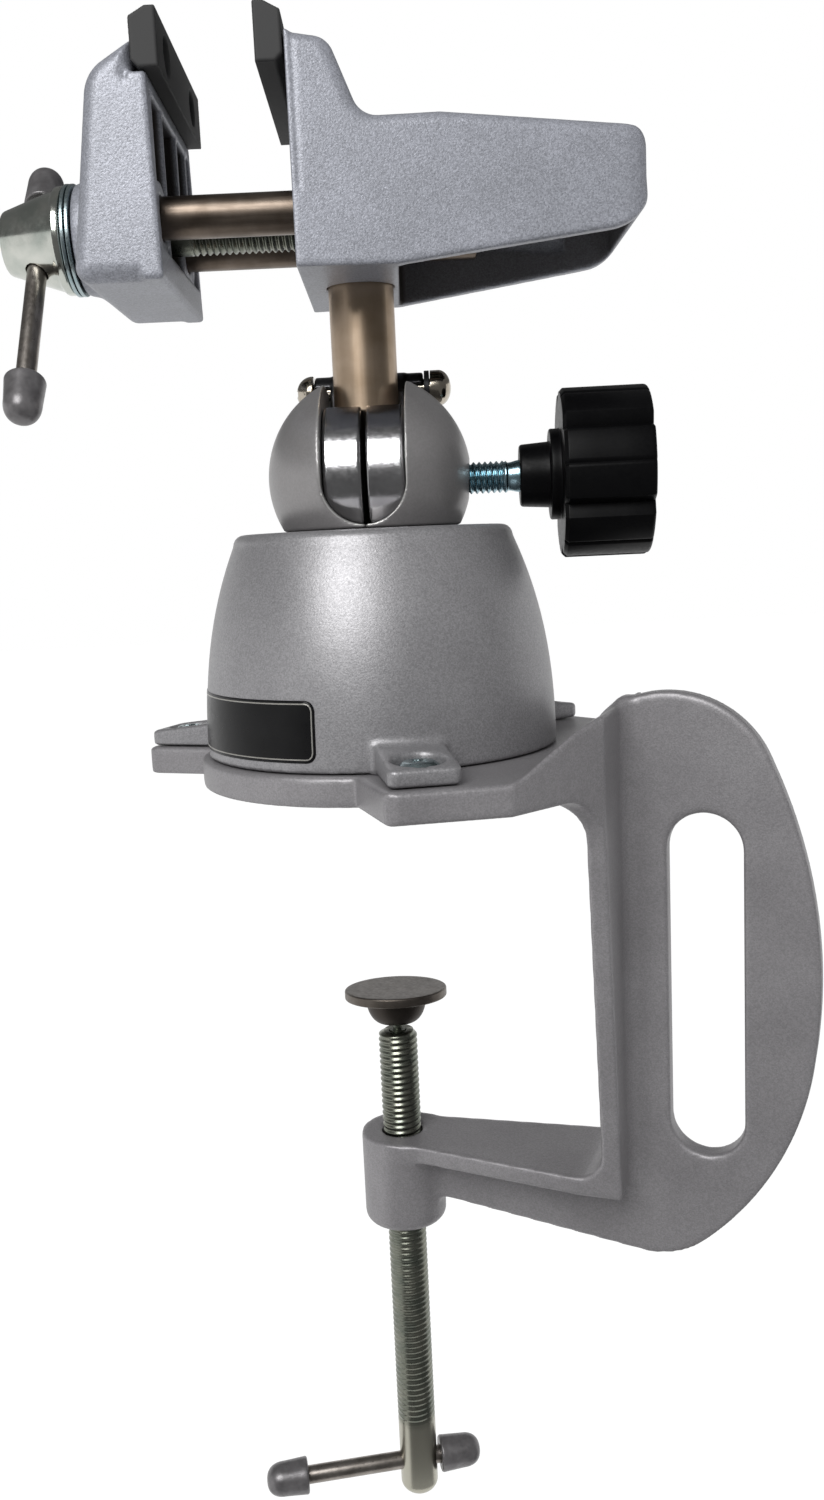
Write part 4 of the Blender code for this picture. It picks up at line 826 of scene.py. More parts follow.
        # The rib's fillet stays on the outside of the frame, so that the throat's faces are flat.
        in_throat = ((x < self.flange_x + self.flange_t / 2.0) & (z < self.plate_t / 2.0)
                     & (z > -self.throat - self.flange_t / 2.0))
        ribbed = np.where(in_throat, frame_field, join(frame_field, rib, self.rib_fillet))
        solid = join(ribbed, boss, self.boss_fillet)
        # The rounding of coplanar tops stands proud of the arm, and is faced off there.
        over_arm = (x < self.flange_x / 2.0) & (z < -self.throat / 2.0)
        solid = np.where(over_arm, np.maximum(solid, z + self.throat), solid)
        slot = capsule(self.slot_w / 2.0, -self.slot_drop - self.slot_l, -self.slot_drop)
        solid = carve(solid, outline_distance(x, z, slot + (self.slot_x, 0.0)), self.cast_edge)
        bore = meet(np.hypot(x, y) - self.screw_r - RUNNING, z + self.throat - self.bore_above)
        solid = carve(solid, bore, self.bore_edge)
        show("clamp_casting", box.skin(solid), self.where, CLAMP_LACQUER, Body.MOUNT, "clamp_frame")

    def housing_radius(self, level: Array) -> Array:
        """Outer radius of the dome: it draws in by a power of the height."""
        share = np.clip(level / self.housing_rim_z, 0.0, 1.0) ** self.housing_curve
        return self.housing_r - (self.housing_r - self.housing_rim_r) * share

    def dome(self) -> None:
        """The hollow dome with three sloped ears that run into it, and their counterbores."""
        box = Lattice((-66.0, -66.0, -1.5), (66.0, 66.0, 56.0), step=0.7)
        x, y, z = box.x, box.y, box.z
        levels = np.linspace(0.0, self.housing_rim_z, 40)
        rim_round = self.housing_h - self.housing_rim_z
        rim = arc((self.housing_rim_r - rim_round, self.housing_rim_z), rim_round, 20.0, 90.0, steps=10)
        roof = self.housing_h - self.housing_roof
        inner = np.linspace(roof, 0.0, 20)
        neck = self.neck_r + RUNNING
        lining = np.stack([self.housing_radius(inner) - self.housing_wall, inner], -1)
        solid = box.turned(np.concatenate([
            np.stack([self.housing_radius(levels), levels], -1), rim,
            [(neck, self.housing_h), (neck, roof)], lining]))
        root = self.housing_r - self.housing_wall * self.ear_sink
        outline = rounded([(root, self.housing_ear_half, 0.0),
                           (self.housing_ear_end, self.housing_ear_half, self.ear_corner),
                           (self.housing_ear_end, -self.housing_ear_half, self.ear_corner),
                           (root, -self.housing_ear_half, 0.0)])
        for angle in np.radians(sorted(self.ear_angles)):
            along = x * math.cos(angle) + y * math.sin(angle)
            across = y * math.cos(angle) - x * math.sin(angle)
            share = (along - root) / (self.housing_ear_end - root)
            top = self.ear_root_h + (self.ear_end_h - self.ear_root_h) * share
            ear = meet(outline_distance(along, across, outline), np.maximum(-z, z - top), self.ear_edge)
            solid = join(solid, ear, self.ear_fillet)
            apart = np.hypot(along - self.bolt_circle, across)
            solid = carve(solid, meet(apart - self.counterbore_r, self.counterbore_z - z), radius=0.4)
            solid = carve(solid, apart - self.base_screw_r - RUNNING, radius=0.2)
        hollow = box.turned(np.concatenate([
            [(0.0, -self.housing_below), (self.housing_r - self.housing_wall, -self.housing_below)],
            lining[::-1], [(0.0, roof)]]))
        solid = carve(solid, hollow, radius=0.3)
        where = self.where @ place((0.0, 0.0, self.housing_z))
        show("base_dome", box.skin(solid), where, BASE_LACQUER, Body.MOUNT, "base_housing")

    def base_screws(self) -> None:
        """Three pan head screws with cross recesses, sunk in the ears."""
        box = Lattice((-5.6, -5.6, -self.base_screw_l - 0.6), (5.6, 5.6, self.base_head_h + 0.8), step=0.16)
        # A pan head, crowned on top with a soft rim.
        head = rounded([(0.0, self.base_head_h, 0.0), (3.4, self.base_head_h - 0.15, 1.2),
                        (self.base_head_r, 0.7, 0.7), (self.base_head_r, 0.0, 0.15),
                        (self.base_screw_r, 0.0, 0.0), (self.base_screw_r, -self.base_screw_l, 0.4),
                        (0.0, -self.base_screw_l, 0.0)])
        recess = cross_recess(box.x, box.y, self.base_head_h - box.z, width=1.3, reach=2.5, depth=1.5)
        skin = box.skin(carve(box.turned(head), recess, radius=0.12))
        seat = self.housing_z + self.counterbore_z + SEAT
        for number, angle in enumerate(self.ear_angles, start=1):
            turn = self.base_screw_turn * number
            spot = place(turn=angle) @ place((self.bolt_circle, 0.0, seat), turn=turn)
            show(f"base_screw_head_{number}", skin, self.where @ spot, PALE_ZINC, Body.MOUNT,
                 f"base_screw_{number}")

    def label_outline(self, inset: float, points: int = 160) -> Array:
        """A rounded rectangle on the dome, unrolled, drawn in by an inset.

        Args:
            inset: how far it is drawn in.
            points: points spread evenly along it.

        Returns:
            The points as an array of (length, height).
        """
        long, high = self.label_half_l - inset, self.label_half_h - inset
        corner = max(self.label_corner - inset, self.label_least_corner)
        ends = ((-long, -high), (long, -high), (long, high), (-long, high))
        line = rounded([(u, v, corner) for u, v in ends], steps=12)
        closed = np.concatenate([line, line[:1]])
        run = np.concatenate([[0.0], np.cumsum(np.hypot(*np.diff(closed, axis=0).T))])
        spots = np.linspace(0.0, run[-1], points, endpoint=False)
        return np.stack([np.interp(spots, run, column) for column in closed.T], -1)

    def on_dome(self, flat: Array, proud: Array) -> Array:
        """Rolls flat points of (length, height) onto the dome, standing proud of it by a height.

        The length becomes an angle at the dome's foot radius, and the height a level.

        Args:
            flat: points of (length, height).
            proud: height of each point over the dome.

        Returns:
            The points in the housing's frame.
        """
        level = self.label_z + flat[..., 1]
        angle = np.radians(self.label_azimuth) + flat[..., 0] / self.housing_r
        radius = self.housing_radius(level) + proud
        return np.stack([radius * np.cos(angle), radius * np.sin(angle), level], -1)

    def label(self) -> None:
        """A plain plate on the dome's side, black with a fine silver line near its edge."""
        shrink = np.linspace(1.0, 0.0, self.label_rows)[:, None, None]
        border = self.label_outline(0.0)[None]
        flat = np.concatenate([border, border * shrink])
        proud = np.full(flat.shape[:2], self.label_proud)
        proud[0] = -self.label_sink
        where = place((0.0, 0.0, self.housing_z))
        show("label_plate", grid(self.on_dome(flat, proud)), where, LABEL_BLACK, Body.MOUNT)
        insets = self.label_inset + self.label_line * np.array([0.0, 0.0, 1.0, 1.0])
        heights = np.array([self.line_foot, self.line_top, self.line_top, self.line_foot])
        rings = np.stack([self.label_outline(inset) for inset in insets])
        raised = np.broadcast_to(heights[:, None], rings.shape[:2])
        show("label_line", grid(self.on_dome(rings, raised)), where, LABEL_SILVER, Body.MOUNT)

    def build(self) -> None:
        """Builds every piece of the mount."""
        self.clamp_casting()
        self.dome()
        self.base_screws()
        self.label()


@dataclass
class CappedBar:
    """A sliding bar along its own z axis, with a bullet shaped cap on each end.

    A cap's end is a quarter of a superellipse, turned about the bar.
    """

    radius: float = 2.35
    cap_r: float = 4.8
    end_r: float = 4.4
    end_l: float = 5.2
    bluntness: float = 0.8
    cap_l: float = 11.4
    bore_l: float = 7.0
    bar_edge: float = 0.35
    rim_l: float = 1.4
    rim_taper: float = 0.1

    def build(self, prefix: str, ends: tuple[str, str], where: Matrix, body: Body, low: float,
              high: float) -> None:
        """Makes the bar and its caps.

        Args:
            prefix: first part of the pieces' names.
            ends: names of the caps at the high and the low end.
            where: placement of the bar's frame.
            body: the body that carries it.
            low: level where the low cap starts.
            high: level where the high cap starts.
        """
        tip = self.bore_l - SEAT
        bar = pin(self.radius, low - tip, high + tip, self.bar_edge)
        show(f"{prefix}_sliding_bar", lathe(bar, steps=40), where, DARK_STEEL, body, f"{prefix}_bar",
             sharp=SHARP_TURNED)
        bore = self.radius + RUNNING
        quarter = np.radians(np.linspace(0.0, 90.0, 20))
        bullet = np.stack([np.cos(quarter), np.sin(quarter)], -1) ** self.bluntness
        bullet[-1, 0] = 0.0
        mouth = rounded([(0.0, self.bore_l, 0.0), (bore, self.bore_l, 0.0), (bore, 0.0, 0.3),
                         (self.cap_r, 0.0, 0.6), (self.cap_r - self.rim_taper, self.rim_l, 0.0)], steps=6)
        cap = np.concatenate([mouth, bullet * (self.end_r, self.end_l) + (0.0, self.cap_l - self.end_l)])
        upper = where @ place((0.0, 0.0, high))
        lower = where @ place((0.0, 0.0, low)) @ place(turn=180.0, axis="X")
        for end, spot in zip(ends, (upper, lower)):
            show(f"{prefix}_bar_{end}_cap", lathe(cap, steps=48), spot, CAP_VINYL, body,
                 f"{prefix}_bar_cap_{end}")


@dataclass
class ClampDrive:
    """The clamp screw with its bar, and the swivel pad on a ball stud in the screw's nose."""

    top: float = -69.6
    radius: float = 5.15
    length: float = 136.2
    plain_end: float = 22.0
    pitch: float = 1.5875
    depth: float = 0.62
    bar_drop: float = 126.5
    bar_span: float = 31.2
    bar_rest: float = 6.1
    bar_turn: float = 9.5
    neck_r: float = 1.2
    neck_l: float = 3.1
    root_r: float = 2.2
    nose_bore: float = 6.0
    ball_r: float = 2.7
    pad_r: float = 13.5
    pad_rim: float = 2.4
    cup_r: float = 8.0
    foot_r: float = 5.0
    skirt: float = 2.0
    cup_h: float = 4.8
    pad_lean: float = -6.0
    end_round: float = 3.6
    nose_chamfer: float = 1.0
    worn_depth: float = 0.35
    depth_gain: float = 0.4
    runout: float = 2.5
    neck_angle: float = -63.0
    bowl_in: float = 1.2
    bowl_span: Pair = (12.0, 84.0)

    def screw(self) -> None:
        """The screw: a thread worn towards its foot, then a plain rounded end that the bar runs through."""
        levels = np.arange(-self.length, 0.01, self.pitch / THREAD_ROWS)
        levels = np.concatenate([[-self.length], levels, [0.0, 0.0, -self.nose_bore, -self.nose_bore]])
        from_end = levels + self.length
        short = 1.0 - np.clip(from_end / self.end_round, 0.0, 1.0)
        outer = self.radius * np.sqrt(np.clip(1.0 - short ** 2, 0.0, 1.0))
        chamfer = self.nose_chamfer
        outer = np.minimum(outer, self.radius - chamfer + np.clip(-levels, 0.0, chamfer))
        bore = self.root_r + RUNNING
        outer[0] = 0.0
        outer[-3:] = (bore, bore, 0.0)
        left = self.worn_depth + self.depth_gain * ease(from_end, self.plain_end, self.length)
        depth = self.depth * left * ease(from_end, self.plain_end, self.plain_end + self.runout)
        depth[-3:] = 0.0
        bright = 1.0 - ease(from_end, self.plain_end - 1.0, self.plain_end + 3.0)
        where = place((0.0, 0.0, self.top))
        shaft = threaded(levels, outer, depth, self.pitch)
        show("clamp_screw_shaft", shaft, where, SCREW_ZINC, Body.CLAMP_SCREW, "clamp_screw",
             sharp=SHARP_THREAD, bare_and_painted_light=np.repeat(bright, len(shaft[0]) // len(levels)))

    def swivel(self) -> None:
        """The ball stud, and the round pad whose cup hangs around the ball."""
        ball_z = self.neck_l + self.ball_r
        ball = arc((0.0, ball_z), self.ball_r, self.neck_angle, 90.0, steps=16)
        base = -self.nose_bore + SEAT
        shank = [(0.0, base), (self.root_r, base), (self.root_r, SEAT), (self.neck_r, SEAT)]
        stud = np.concatenate([shank, ball])
        stud[-1, 0] = 0.0
        nose = place((0.0, 0.0, self.top))
        show("swivel_ball_stud", lathe(stud, steps=40), nose, SCREW_ZINC, Body.CLAMP_CARRIER, "pad_stud",
             sharp=SHARP_TURNED)
        room = self.ball_r + RUNNING
        foot = -self.ball_r + 4.0 * SEAT
        mouth = math.degrees(math.asin(foot / room))
        socket = arc((0.0, 0.0), room, 90.0, mouth, steps=12)
        socket[0, 0] = 0.0
        rim = foot + self.cup_h
        top = rim + self.pad_rim
        low = foot - self.skirt
        turn = np.radians(np.linspace(*self.bowl_span, 16))
        flare = self.cup_r - self.foot_r + self.bowl_in
        bowl = np.stack([self.foot_r - self.bowl_in + flare * np.sin(turn),
                         low + (rim - low) * (1.0 - np.cos(turn))], -1)
        # A flat disc with rolled edges, very slightly dished on top.
        disc = rounded([(self.cup_r + 0.3, rim - 0.5, 0.3), (self.cup_r + 1.0, rim, 0.4),
                        (self.pad_r, rim, 0.5), (self.pad_r, top, 0.45), (self.pad_r - 1.6, top, 0.6),
                        (0.0, top - 0.12, 0.0)], steps=6)
        outside = np.concatenate([[(self.foot_r - 0.9, low)], bowl, disc])
        where = place((0.0, 0.0, self.top + ball_z)) @ place(turn=self.pad_lean, axis="X")
        points, quads = lathe(np.concatenate([socket, outside]), steps=80)
        # Painted shade: the bowl below the disc's rim takes the darker second colour.
        show("swivel_pad_disc", (points, quads), where, PAD_STEEL, Body.CLAMP_PAD, "clamp_pad",
             sharp=SHARP_TURNED, bare_and_painted_light=1.0 - ease(points[:, 2], rim - 0.8, rim - 0.2))

    def build(self) -> None:
        """Builds the screw, the swivel pad and the sliding bar."""
        self.screw()
        self.swivel()
        where = place((0.0, 0.0, self.top - self.bar_drop), turn=self.bar_turn) @ place(turn=90.0, axis="Y")
        CappedBar().build("clamp", ("right", "left"), where, Body.CLAMP_BAR, -self.bar_span, self.bar_rest)


@dataclass
class BallJoint:
    """The split ball, the chromed drum in it with its pinch bolt, and the locking knob."""

    height: float = 74.4
    turn: float = -3.0
    ball_r: float = 25.1
    ball_rise: float = 12.6
    neck_r: float = 19.2
    lip_r: float = 22.2
    lip_t: float = 3.0
    roof: float = 6.0
    slot_half: float = 10.0
    slot_drop: float = 1.5
    drum_r: float = 19.6
    drum_slit: float = 1.1
    drum_flat: float = 16.5
    pinch_y: float = 12.6
    pinch_z: float = 22.4
    ear_r: float = 4.2
    ear_half: float = 13.8
    bolt_r: float = 2.4
    bolt_head_r: float = 4.4
    bolt_head_h: float = 4.6
    washer_t: float = 1.2
    bolt_rim: float = 0.5
    bolt_in_nut: float = 0.55
    nut_h: float = 5.2
    crown_share: float = 0.6
    post_r: float = 7.94
    stud_r: float = 3.9
    stud_drop: float = 1.2
    stud_pitch: float = 1.4111
    stud_depth: float = 0.62
    plug_r: float = 4.6
    plug_t: float = 2.4
    travel: float = 4.0
    hub_start: float = 37.0
    hub_r: float = 7.5
    hub_l: float = 10.0
    knob_r: float = 20.6
    knob_l: float = 21.3
    knob_disc_r: float = 11.0
    knob_disc_t: float = 2.6
    lobes: int = 6
    lobe_phase: float = 4.0
    valley: float = 2.4
    valley_share: float = 0.12
    lobe_line: float = 0.4
    lobe_crown: float = 0.9
    line_share: float = 0.03
    knob_edge: float = 1.0
    knob_steps: int = 360
    knob_crease: float = 28.0
    stud_chamfer: float = 0.8
    shoulder_l: float = 3.2
    waist_depth: float = 0.5
    plug_edge: float = 0.4
    bare_rim: float = 0.75

    @property
    def where(self) -> Matrix:
        """Placement of the ball's centre."""
        return place((0.0, 0.0, self.height), turn=self.turn)

    def ball_halves(self) -> None:
        """Two half shells around the drum, with bright machined edges along the tilt slot."""
        reach = self.ball_r + 1.5
        neck_top = -self.ball_rise + SEAT
        lip_top = -self.ball_rise - self.roof - SEAT
        foot = lip_top - self.lip_t
        slot_line = capsule(self.slot_half, -self.slot_drop - self.slot_half, 3.0 * self.ball_r)
        for side, name in SIDES:
            low_x, high_x = sorted((-side * 1.0, side * reach))
            box = Lattice((low_x, -reach, foot - 1.2), (high_x, reach, reach), step=0.4)
            x, y, z = box.x, box.y, box.z
            from_axis = np.hypot(x, y)
            solid = meet(np.sqrt(from_axis ** 2 + z ** 2) - self.ball_r, neck_top - z, radius=0.4)
            solid = join(solid, meet(from_axis - self.neck_r, slab(z, foot, neck_top + 2.0)))
            solid = join(solid, meet(from_axis - self.lip_r, slab(z, foot, lip_top), radius=0.3))
            cavity = meet(np.hypot(y, z) - self.drum_r - SEAT, np.abs(x) - self.slot_half)
            solid = carve(solid, join(cavity, outline_distance(x, z, slot_line)), radius=0.45)
            solid = meet(solid, SEAT / 2.0 - side * x, radius=0.3)
            if side > 0.0:
                hole = np.hypot(y, z + self.stud_drop)
                plug_room = self.slot_half + self.plug_t + self.travel + 2.0 * SEAT
                solid = carve(solid, meet(hole - self.stud_r - RUNNING, -x), radius=0.5)
                solid = carve(solid, meet(hole - self.plug_r - RUNNING, slab(x, 0.0, plug_room)))
            points, quads = box.skin(solid)
            mouth = outline_distance(points[:, 0], points[:, 2], slot_line)
            outside = np.linalg.norm(points, axis=1) > self.ball_r - self.bare_rim
            show(f"ball_shell_{name}", (points, quads), self.where, BALL_LACQUER, Body.BALL,
                 f"ball_half_{name}", bare_and_painted_light=np.where(outside, 1.0 - ease(mouth, 0.1, 0.4), 0.0))

    def drum_outline(self) -> Array:
        """Outline of the drum across its axis: a disc with a flat top and the leaning stem of its ear."""
        along = np.array((self.pinch_y, self.pinch_z))
        along = along / np.hypot(*along)
        across = np.array((along[1], -along[0])) * self.ear_r
        stem = along * math.sqrt(self.drum_r ** 2 - self.ear_r ** 2) + across
        left = along * ((self.drum_flat + across[1]) / along[1]) - across
        lean = math.degrees(math.atan2(along[1], along[0]))
        start = math.degrees(math.atan2(stem[1], stem[0]))
        flat = math.degrees(math.asin(self.drum_flat / self.drum_r))
        tip = arc((self.pinch_y, self.pinch_z), self.ear_r, lean + 90.0, lean - 90.0)
        disc = arc((0.0, 0.0), self.drum_r, start, -180.0 - flat, steps=140)
        return np.concatenate([[left], tip, disc])

    def drum_halves(self) -> None:
        """Two chromed half drums around the post, each with a wide ear outside the ball."""
        outline = self.drum_outline()
        inner, outer = self.drum_slit / 2.0, self.slot_half - SEAT
        for side, name in SIDES:
            low_x, high_x = sorted((-side * 1.0, side * (self.ear_half + 1.5)))
            box = Lattice((low_x, -21.0, -21.0), (high_x, 21.0, 28.5), step=0.36)
            x, y, z = box.x, box.y, box.z
            disc = meet(outline_distance(y, z, outline), slab(side * x, inner, outer), radius=0.7)
            pinch = np.hypot(y - self.pinch_y, z - self.pinch_z)
            ear = meet(pinch - self.ear_r + RUNNING, slab(side * x, outer / 2.0, self.ear_half), radius=0.5)
            ear = carve(ear, np.hypot(y, z) - self.ball_r)
            solid = join(disc, ear, radius=0.3)
            solid = carve(solid, np.hypot(x, y) - self.post_r - RUNNING, radius=0.4)
            solid = carve(solid, pinch - self.bolt_r - RUNNING)
            points, quads = box.skin(solid)
            # Painted shade and dark reflection: the ears around the bolt take the dark grey second colour.
            from_bolt = np.hypot(points[:, 1] - self.pinch_y, points[:, 2] - self.pinch_z)
            show(f"drum_shell_{name}", (points, quads), self.where, CHROME, Body.DRUM, f"drum_half_{name}",
                 bare_and_painted_light=1.0 - ease(from_bolt, self.ear_r + 0.6, self.ear_r + 2.0))

    def pinch_fasteners(self) -> None:
        """A round head bolt with a cross recess through both ears, a black washer and a dome nut."""
        where = self.where @ place((0.0, self.pinch_y, self.pinch_z)) @ ALONG_X
        head = -self.ear_half - SEAT
        washer = self.ear_half + SEAT
        nut = washer + self.washer_t + SEAT
        end = nut + self.nut_h * self.bolt_in_nut
        box = Lattice((-5.0, -5.0, head - self.bolt_head_h - 0.6), (5.0, 5.0, end + 0.6), step=0.2)
        dome = arc((0.0, 0.0), 1.0, -90.0, 0.0, steps=16)
        dome = dome * (self.bolt_head_r, self.bolt_head_h - self.bolt_rim) + (0.0, head - self.bolt_rim)
        dome[0, 0] = 0.0
        shank = [(self.bolt_head_r, head), (self.bolt_r, head), (self.bolt_r, end), (0.0, end)]
        below = self.bolt_head_h - head + box.z
        recess = cross_recess(box.x, box.y, below, width=1.2, reach=2.4, depth=2.0)
        bolt = carve(box.turned(np.concatenate([dome, shank])), recess, radius=0.15)
        show("pinch_bolt_shaft", box.skin(bolt), where, NICKEL, Body.DRUM, "pinch_bolt")
        bore = self.bolt_r + RUNNING
        under_nut = nut - SEAT
        ring = [(bore, washer), (self.bolt_head_r, washer), (self.bolt_head_r, under_nut), (bore, under_nut)]
        show("pinch_flat_washer", lathe(ring, steps=40, ring=True), where, BLACK_WASHER, Body.DRUM,
             "pinch_washer", sharp=SHARP_TURNED)
        crown = arc((0.0, 0.0), 1.0, 0.0, 90.0, steps=14) * (self.bolt_head_r, self.nut_h * self.crown_share)
        crown = crown + (0.0, nut + self.nut_h * (1.0 - self.crown_share))
        crown[-1, 0] = 0.0
        inside = [(0.0, end + SEAT), (bore, end + SEAT), (bore, nut), (self.bolt_head_r, nut)]
        cap = np.concatenate([inside, crown])
        show("pinch_dome_nut", lathe(cap, steps=40), where, NICKEL, Body.DRUM, "pinch_nut",
             sharp=SHARP_TURNED)

    def lobed(self, radius: Array, angle: Array) -> Array:
        """Radius of the knob: broad lobes, a V between each two and a fine line down each, none at the hub.

        Args:
            radius: radius of the plain turned knob.
            angle: angle about its axis.

        Returns:
            The lobed radius.
        """
        turns = (angle + math.radians(self.lobe_phase)) * self.lobes / (2.0 * np.pi)
        from_valley = np.abs(turns % 1.0 - 0.5)
        dip = self.valley * np.clip(1.0 - from_valley / self.valley_share, 0.0, 1.0)
        dip = dip + self.lobe_crown * (0.5 - np.clip(from_valley, self.valley_share, 0.5)) ** 2
        line = np.clip(1.0 - (0.5 - from_valley) / self.line_share, 0.0, 1.0)
        dip = np.maximum(dip, self.lobe_line * line)
        return radius - dip * ease(radius, self.knob_disc_r + 1.0, self.knob_r - 3.0)

    def knob(self) -> None:
        """The moulded knob on its hub, the threaded stud with its plain shoulder, and the brass plug."""
        where = place((0.0, 0.0, self.height - self.stud_drop), turn=self.turn) @ ALONG_X
        hub_end = self.hub_start + self.hub_l
        end = hub_end + self.knob_l
        stud_end = hub_end + self.knob_l / 2.0
        bore = self.stud_r + SEAT
        disc = hub_end - self.knob_disc_t
        # From the stud's hole over the hub and its disc, along the lobes, to the shallow dish in the end.
        profile = rounded([
            (0.0, stud_end + SEAT, 0.0), (bore, stud_end + SEAT, 0.0), (bore, self.hub_start, 0.3),
            (self.hub_r, self.hub_start, 0.8), (self.hub_r + 0.5, disc, 0.4),
            (self.knob_disc_r, disc, 0.5), (self.knob_disc_r, hub_end, 0.3),
            (self.knob_r - 0.9, hub_end, 0.4), (self.knob_r, hub_end + 0.9, 0.4),
            (self.knob_r, end, self.knob_edge), (self.knob_r - 5.0, end, 0.8),
            (self.knob_r - 6.2, end - 1.2, 0.8), (0.0, end - 1.2, 0.0)], steps=4)
        runs = [np.linspace(a, b, 4)[:-1] for a, b in zip(profile[:-1], profile[1:])]
        fill = np.concatenate([*runs, profile[-1:]])
        plain = np.broadcast_to(fill[:, :1], (len(fill), self.knob_steps))
        surface = around(self.lobed(plain, even_angles(self.knob_steps)[None, :]), fill[:, 1:])
        show("lobed_knob", surface, where, BLACK_PHENOLIC, Body.KNOB, "knob", sharp=self.knob_crease)
        face = self.slot_half + SEAT
        start = face + self.plug_t + SEAT
        levels = thread_rows(start, stud_end, self.stud_pitch)
        chamfer = self.stud_chamfer
        outer = np.minimum(self.stud_r, self.stud_r - chamfer + np.clip(levels - start, 0.0, chamfer))
        outer[[0, -1]] = 0.0
        shoulder = self.hub_start - self.shoulder_l
        depth = self.stud_depth * (1.0 - ease(levels, shoulder - 0.8, shoulder))
        waist = (ease(levels, shoulder - 0.2, shoulder + 0.4)
                 - ease(levels, shoulder + 0.4, self.hub_start))
        outer = outer - self.waist_depth * waist * (outer > 0.0)
        stud = threaded(levels, outer, depth, self.stud_pitch)
        show("knob_threaded_stud", stud, where, BLUE_ZINC, Body.KNOB, "knob_stud", sharp=SHARP_THREAD)
        plug = pin(self.plug_r, face, face + self.plug_t, self.plug_edge)
        show("brass_thrust_plug", lathe(plug, steps=48), where, BRASS, Body.KNOB_CARRIER, "thrust_plug",
             sharp=SHARP_TURNED)

    def build(self) -> None:
        """Builds the ball, the drum with its fasteners, and the knob."""
        self.ball_halves()
        self.drum_halves()
        self.pinch_fasteners()
        self.knob()


@dataclass
class JawPads:
    """A nylon pad with two sunk screws, in a frame whose x = 0 is the pad's back."""

    width: float = 60.0
    thick: float = 6.0
    foot: float = 86.4
    high: float = 12.4
    chamfer_x: float = 3.7
    chamfer_z: float = 2.0
    heel: float = 1.6
    hole_y: float = 17.5
    screw_r: float = 2.0
    head_r: float = 3.8
    head_h: float = 2.2
    screw_l: float = 5.4
    sunk: float = 1.2
    tap_l: float = 1.0

    def pad(self) -> tuple[Surface, Array]:
        """The pad with its countersunk holes.

        Returns:
            The surface, and for each of its points how much it takes the grip face's colour: rubbed wear and
            painted light.
        """
        box = Lattice((-7.2, -31.2, self.foot - 1.2), (1.2, 31.2, self.foot + self.high + 1.2), step=0.3)
        top = self.foot + self.high
        outline = np.array([(0.0, self.foot + self.heel), (0.0, top - self.chamfer_z), (-self.chamfer_x, top),
                            (-self.thick, top), (-self.thick, self.foot), (-self.heel, self.foot)])
        solid = meet(outline_distance(box.x, box.z, outline), np.abs(box.y) - self.width / 2.0, radius=0.25)
        seat = -self.thick + self.sunk
        bore = np.interp(box.x, [seat, seat + self.head_h], [self.head_r + SEAT, self.screw_r + SEAT])
        middle = self.foot + self.high / 2.0
        hole = np.hypot(np.abs(box.y) - self.hole_y, box.z - middle) - bore.astype(np.float32)
        points, quads = box.skin(carve(solid, hole, radius=0.2))
        return (points, quads), 1.0 - ease(points[:, 0], -self.thick + 0.1, -self.thick + 0.35)

    def screw(self) -> Surface:
        """A countersunk screw with a cross recess, its head up along z."""
        box = Lattice((-4.4, -4.4, -self.screw_l - 0.6), (4.4, 4.4, 0.8), step=0.16)
        profile = rounded([(0.0, 0.0, 0.0), (self.head_r, 0.0, 0.2), (self.screw_r, -self.head_h, 0.0),
                           (self.screw_r, -self.screw_l, 0.3), (0.0, -self.screw_l, 0.0)])
        recess = cross_recess(box.x, box.y, -box.z, width=1.0, reach=2.0, depth=1.4)
        return box.skin(carve(box.turned(profile), recess, radius=0.1))

    def build(self, side: str, where: Matrix, body: Body) -> None:
        """Makes one pad with its screws.

        Args:
            side: fixed or moving.
            where: placement of the pad's frame.
            body: the body that carries it.
        """
        surface, worn_and_lit_grip = self.pad()
        # Painted light: the grip face is worn and painted lighter, where it lies in shade between the jaws.
        show(f"{side}_grip_pad", surface, where, PAD_NYLON, body, f"{side}_jaw_pad", bare_and_painted_light=worn_and_lit_grip)
        screw = self.screw()
        outward = Matrix(((0, 0, -1, 0), (0, 1, 0, 0), (1, 0, 0, 0), (0, 0, 0, 1)))
        for number, y in enumerate((-self.hole_y, self.hole_y), start=1):
            spot = place((-self.thick + self.sunk, y, self.foot + self.high / 2.0)) @ outward
            show(f"{side}_pad_sunk_screw_{number}", screw, where @ spot, BLUE_ZINC, body,
                 f"{side}_pad_screw_{number}")


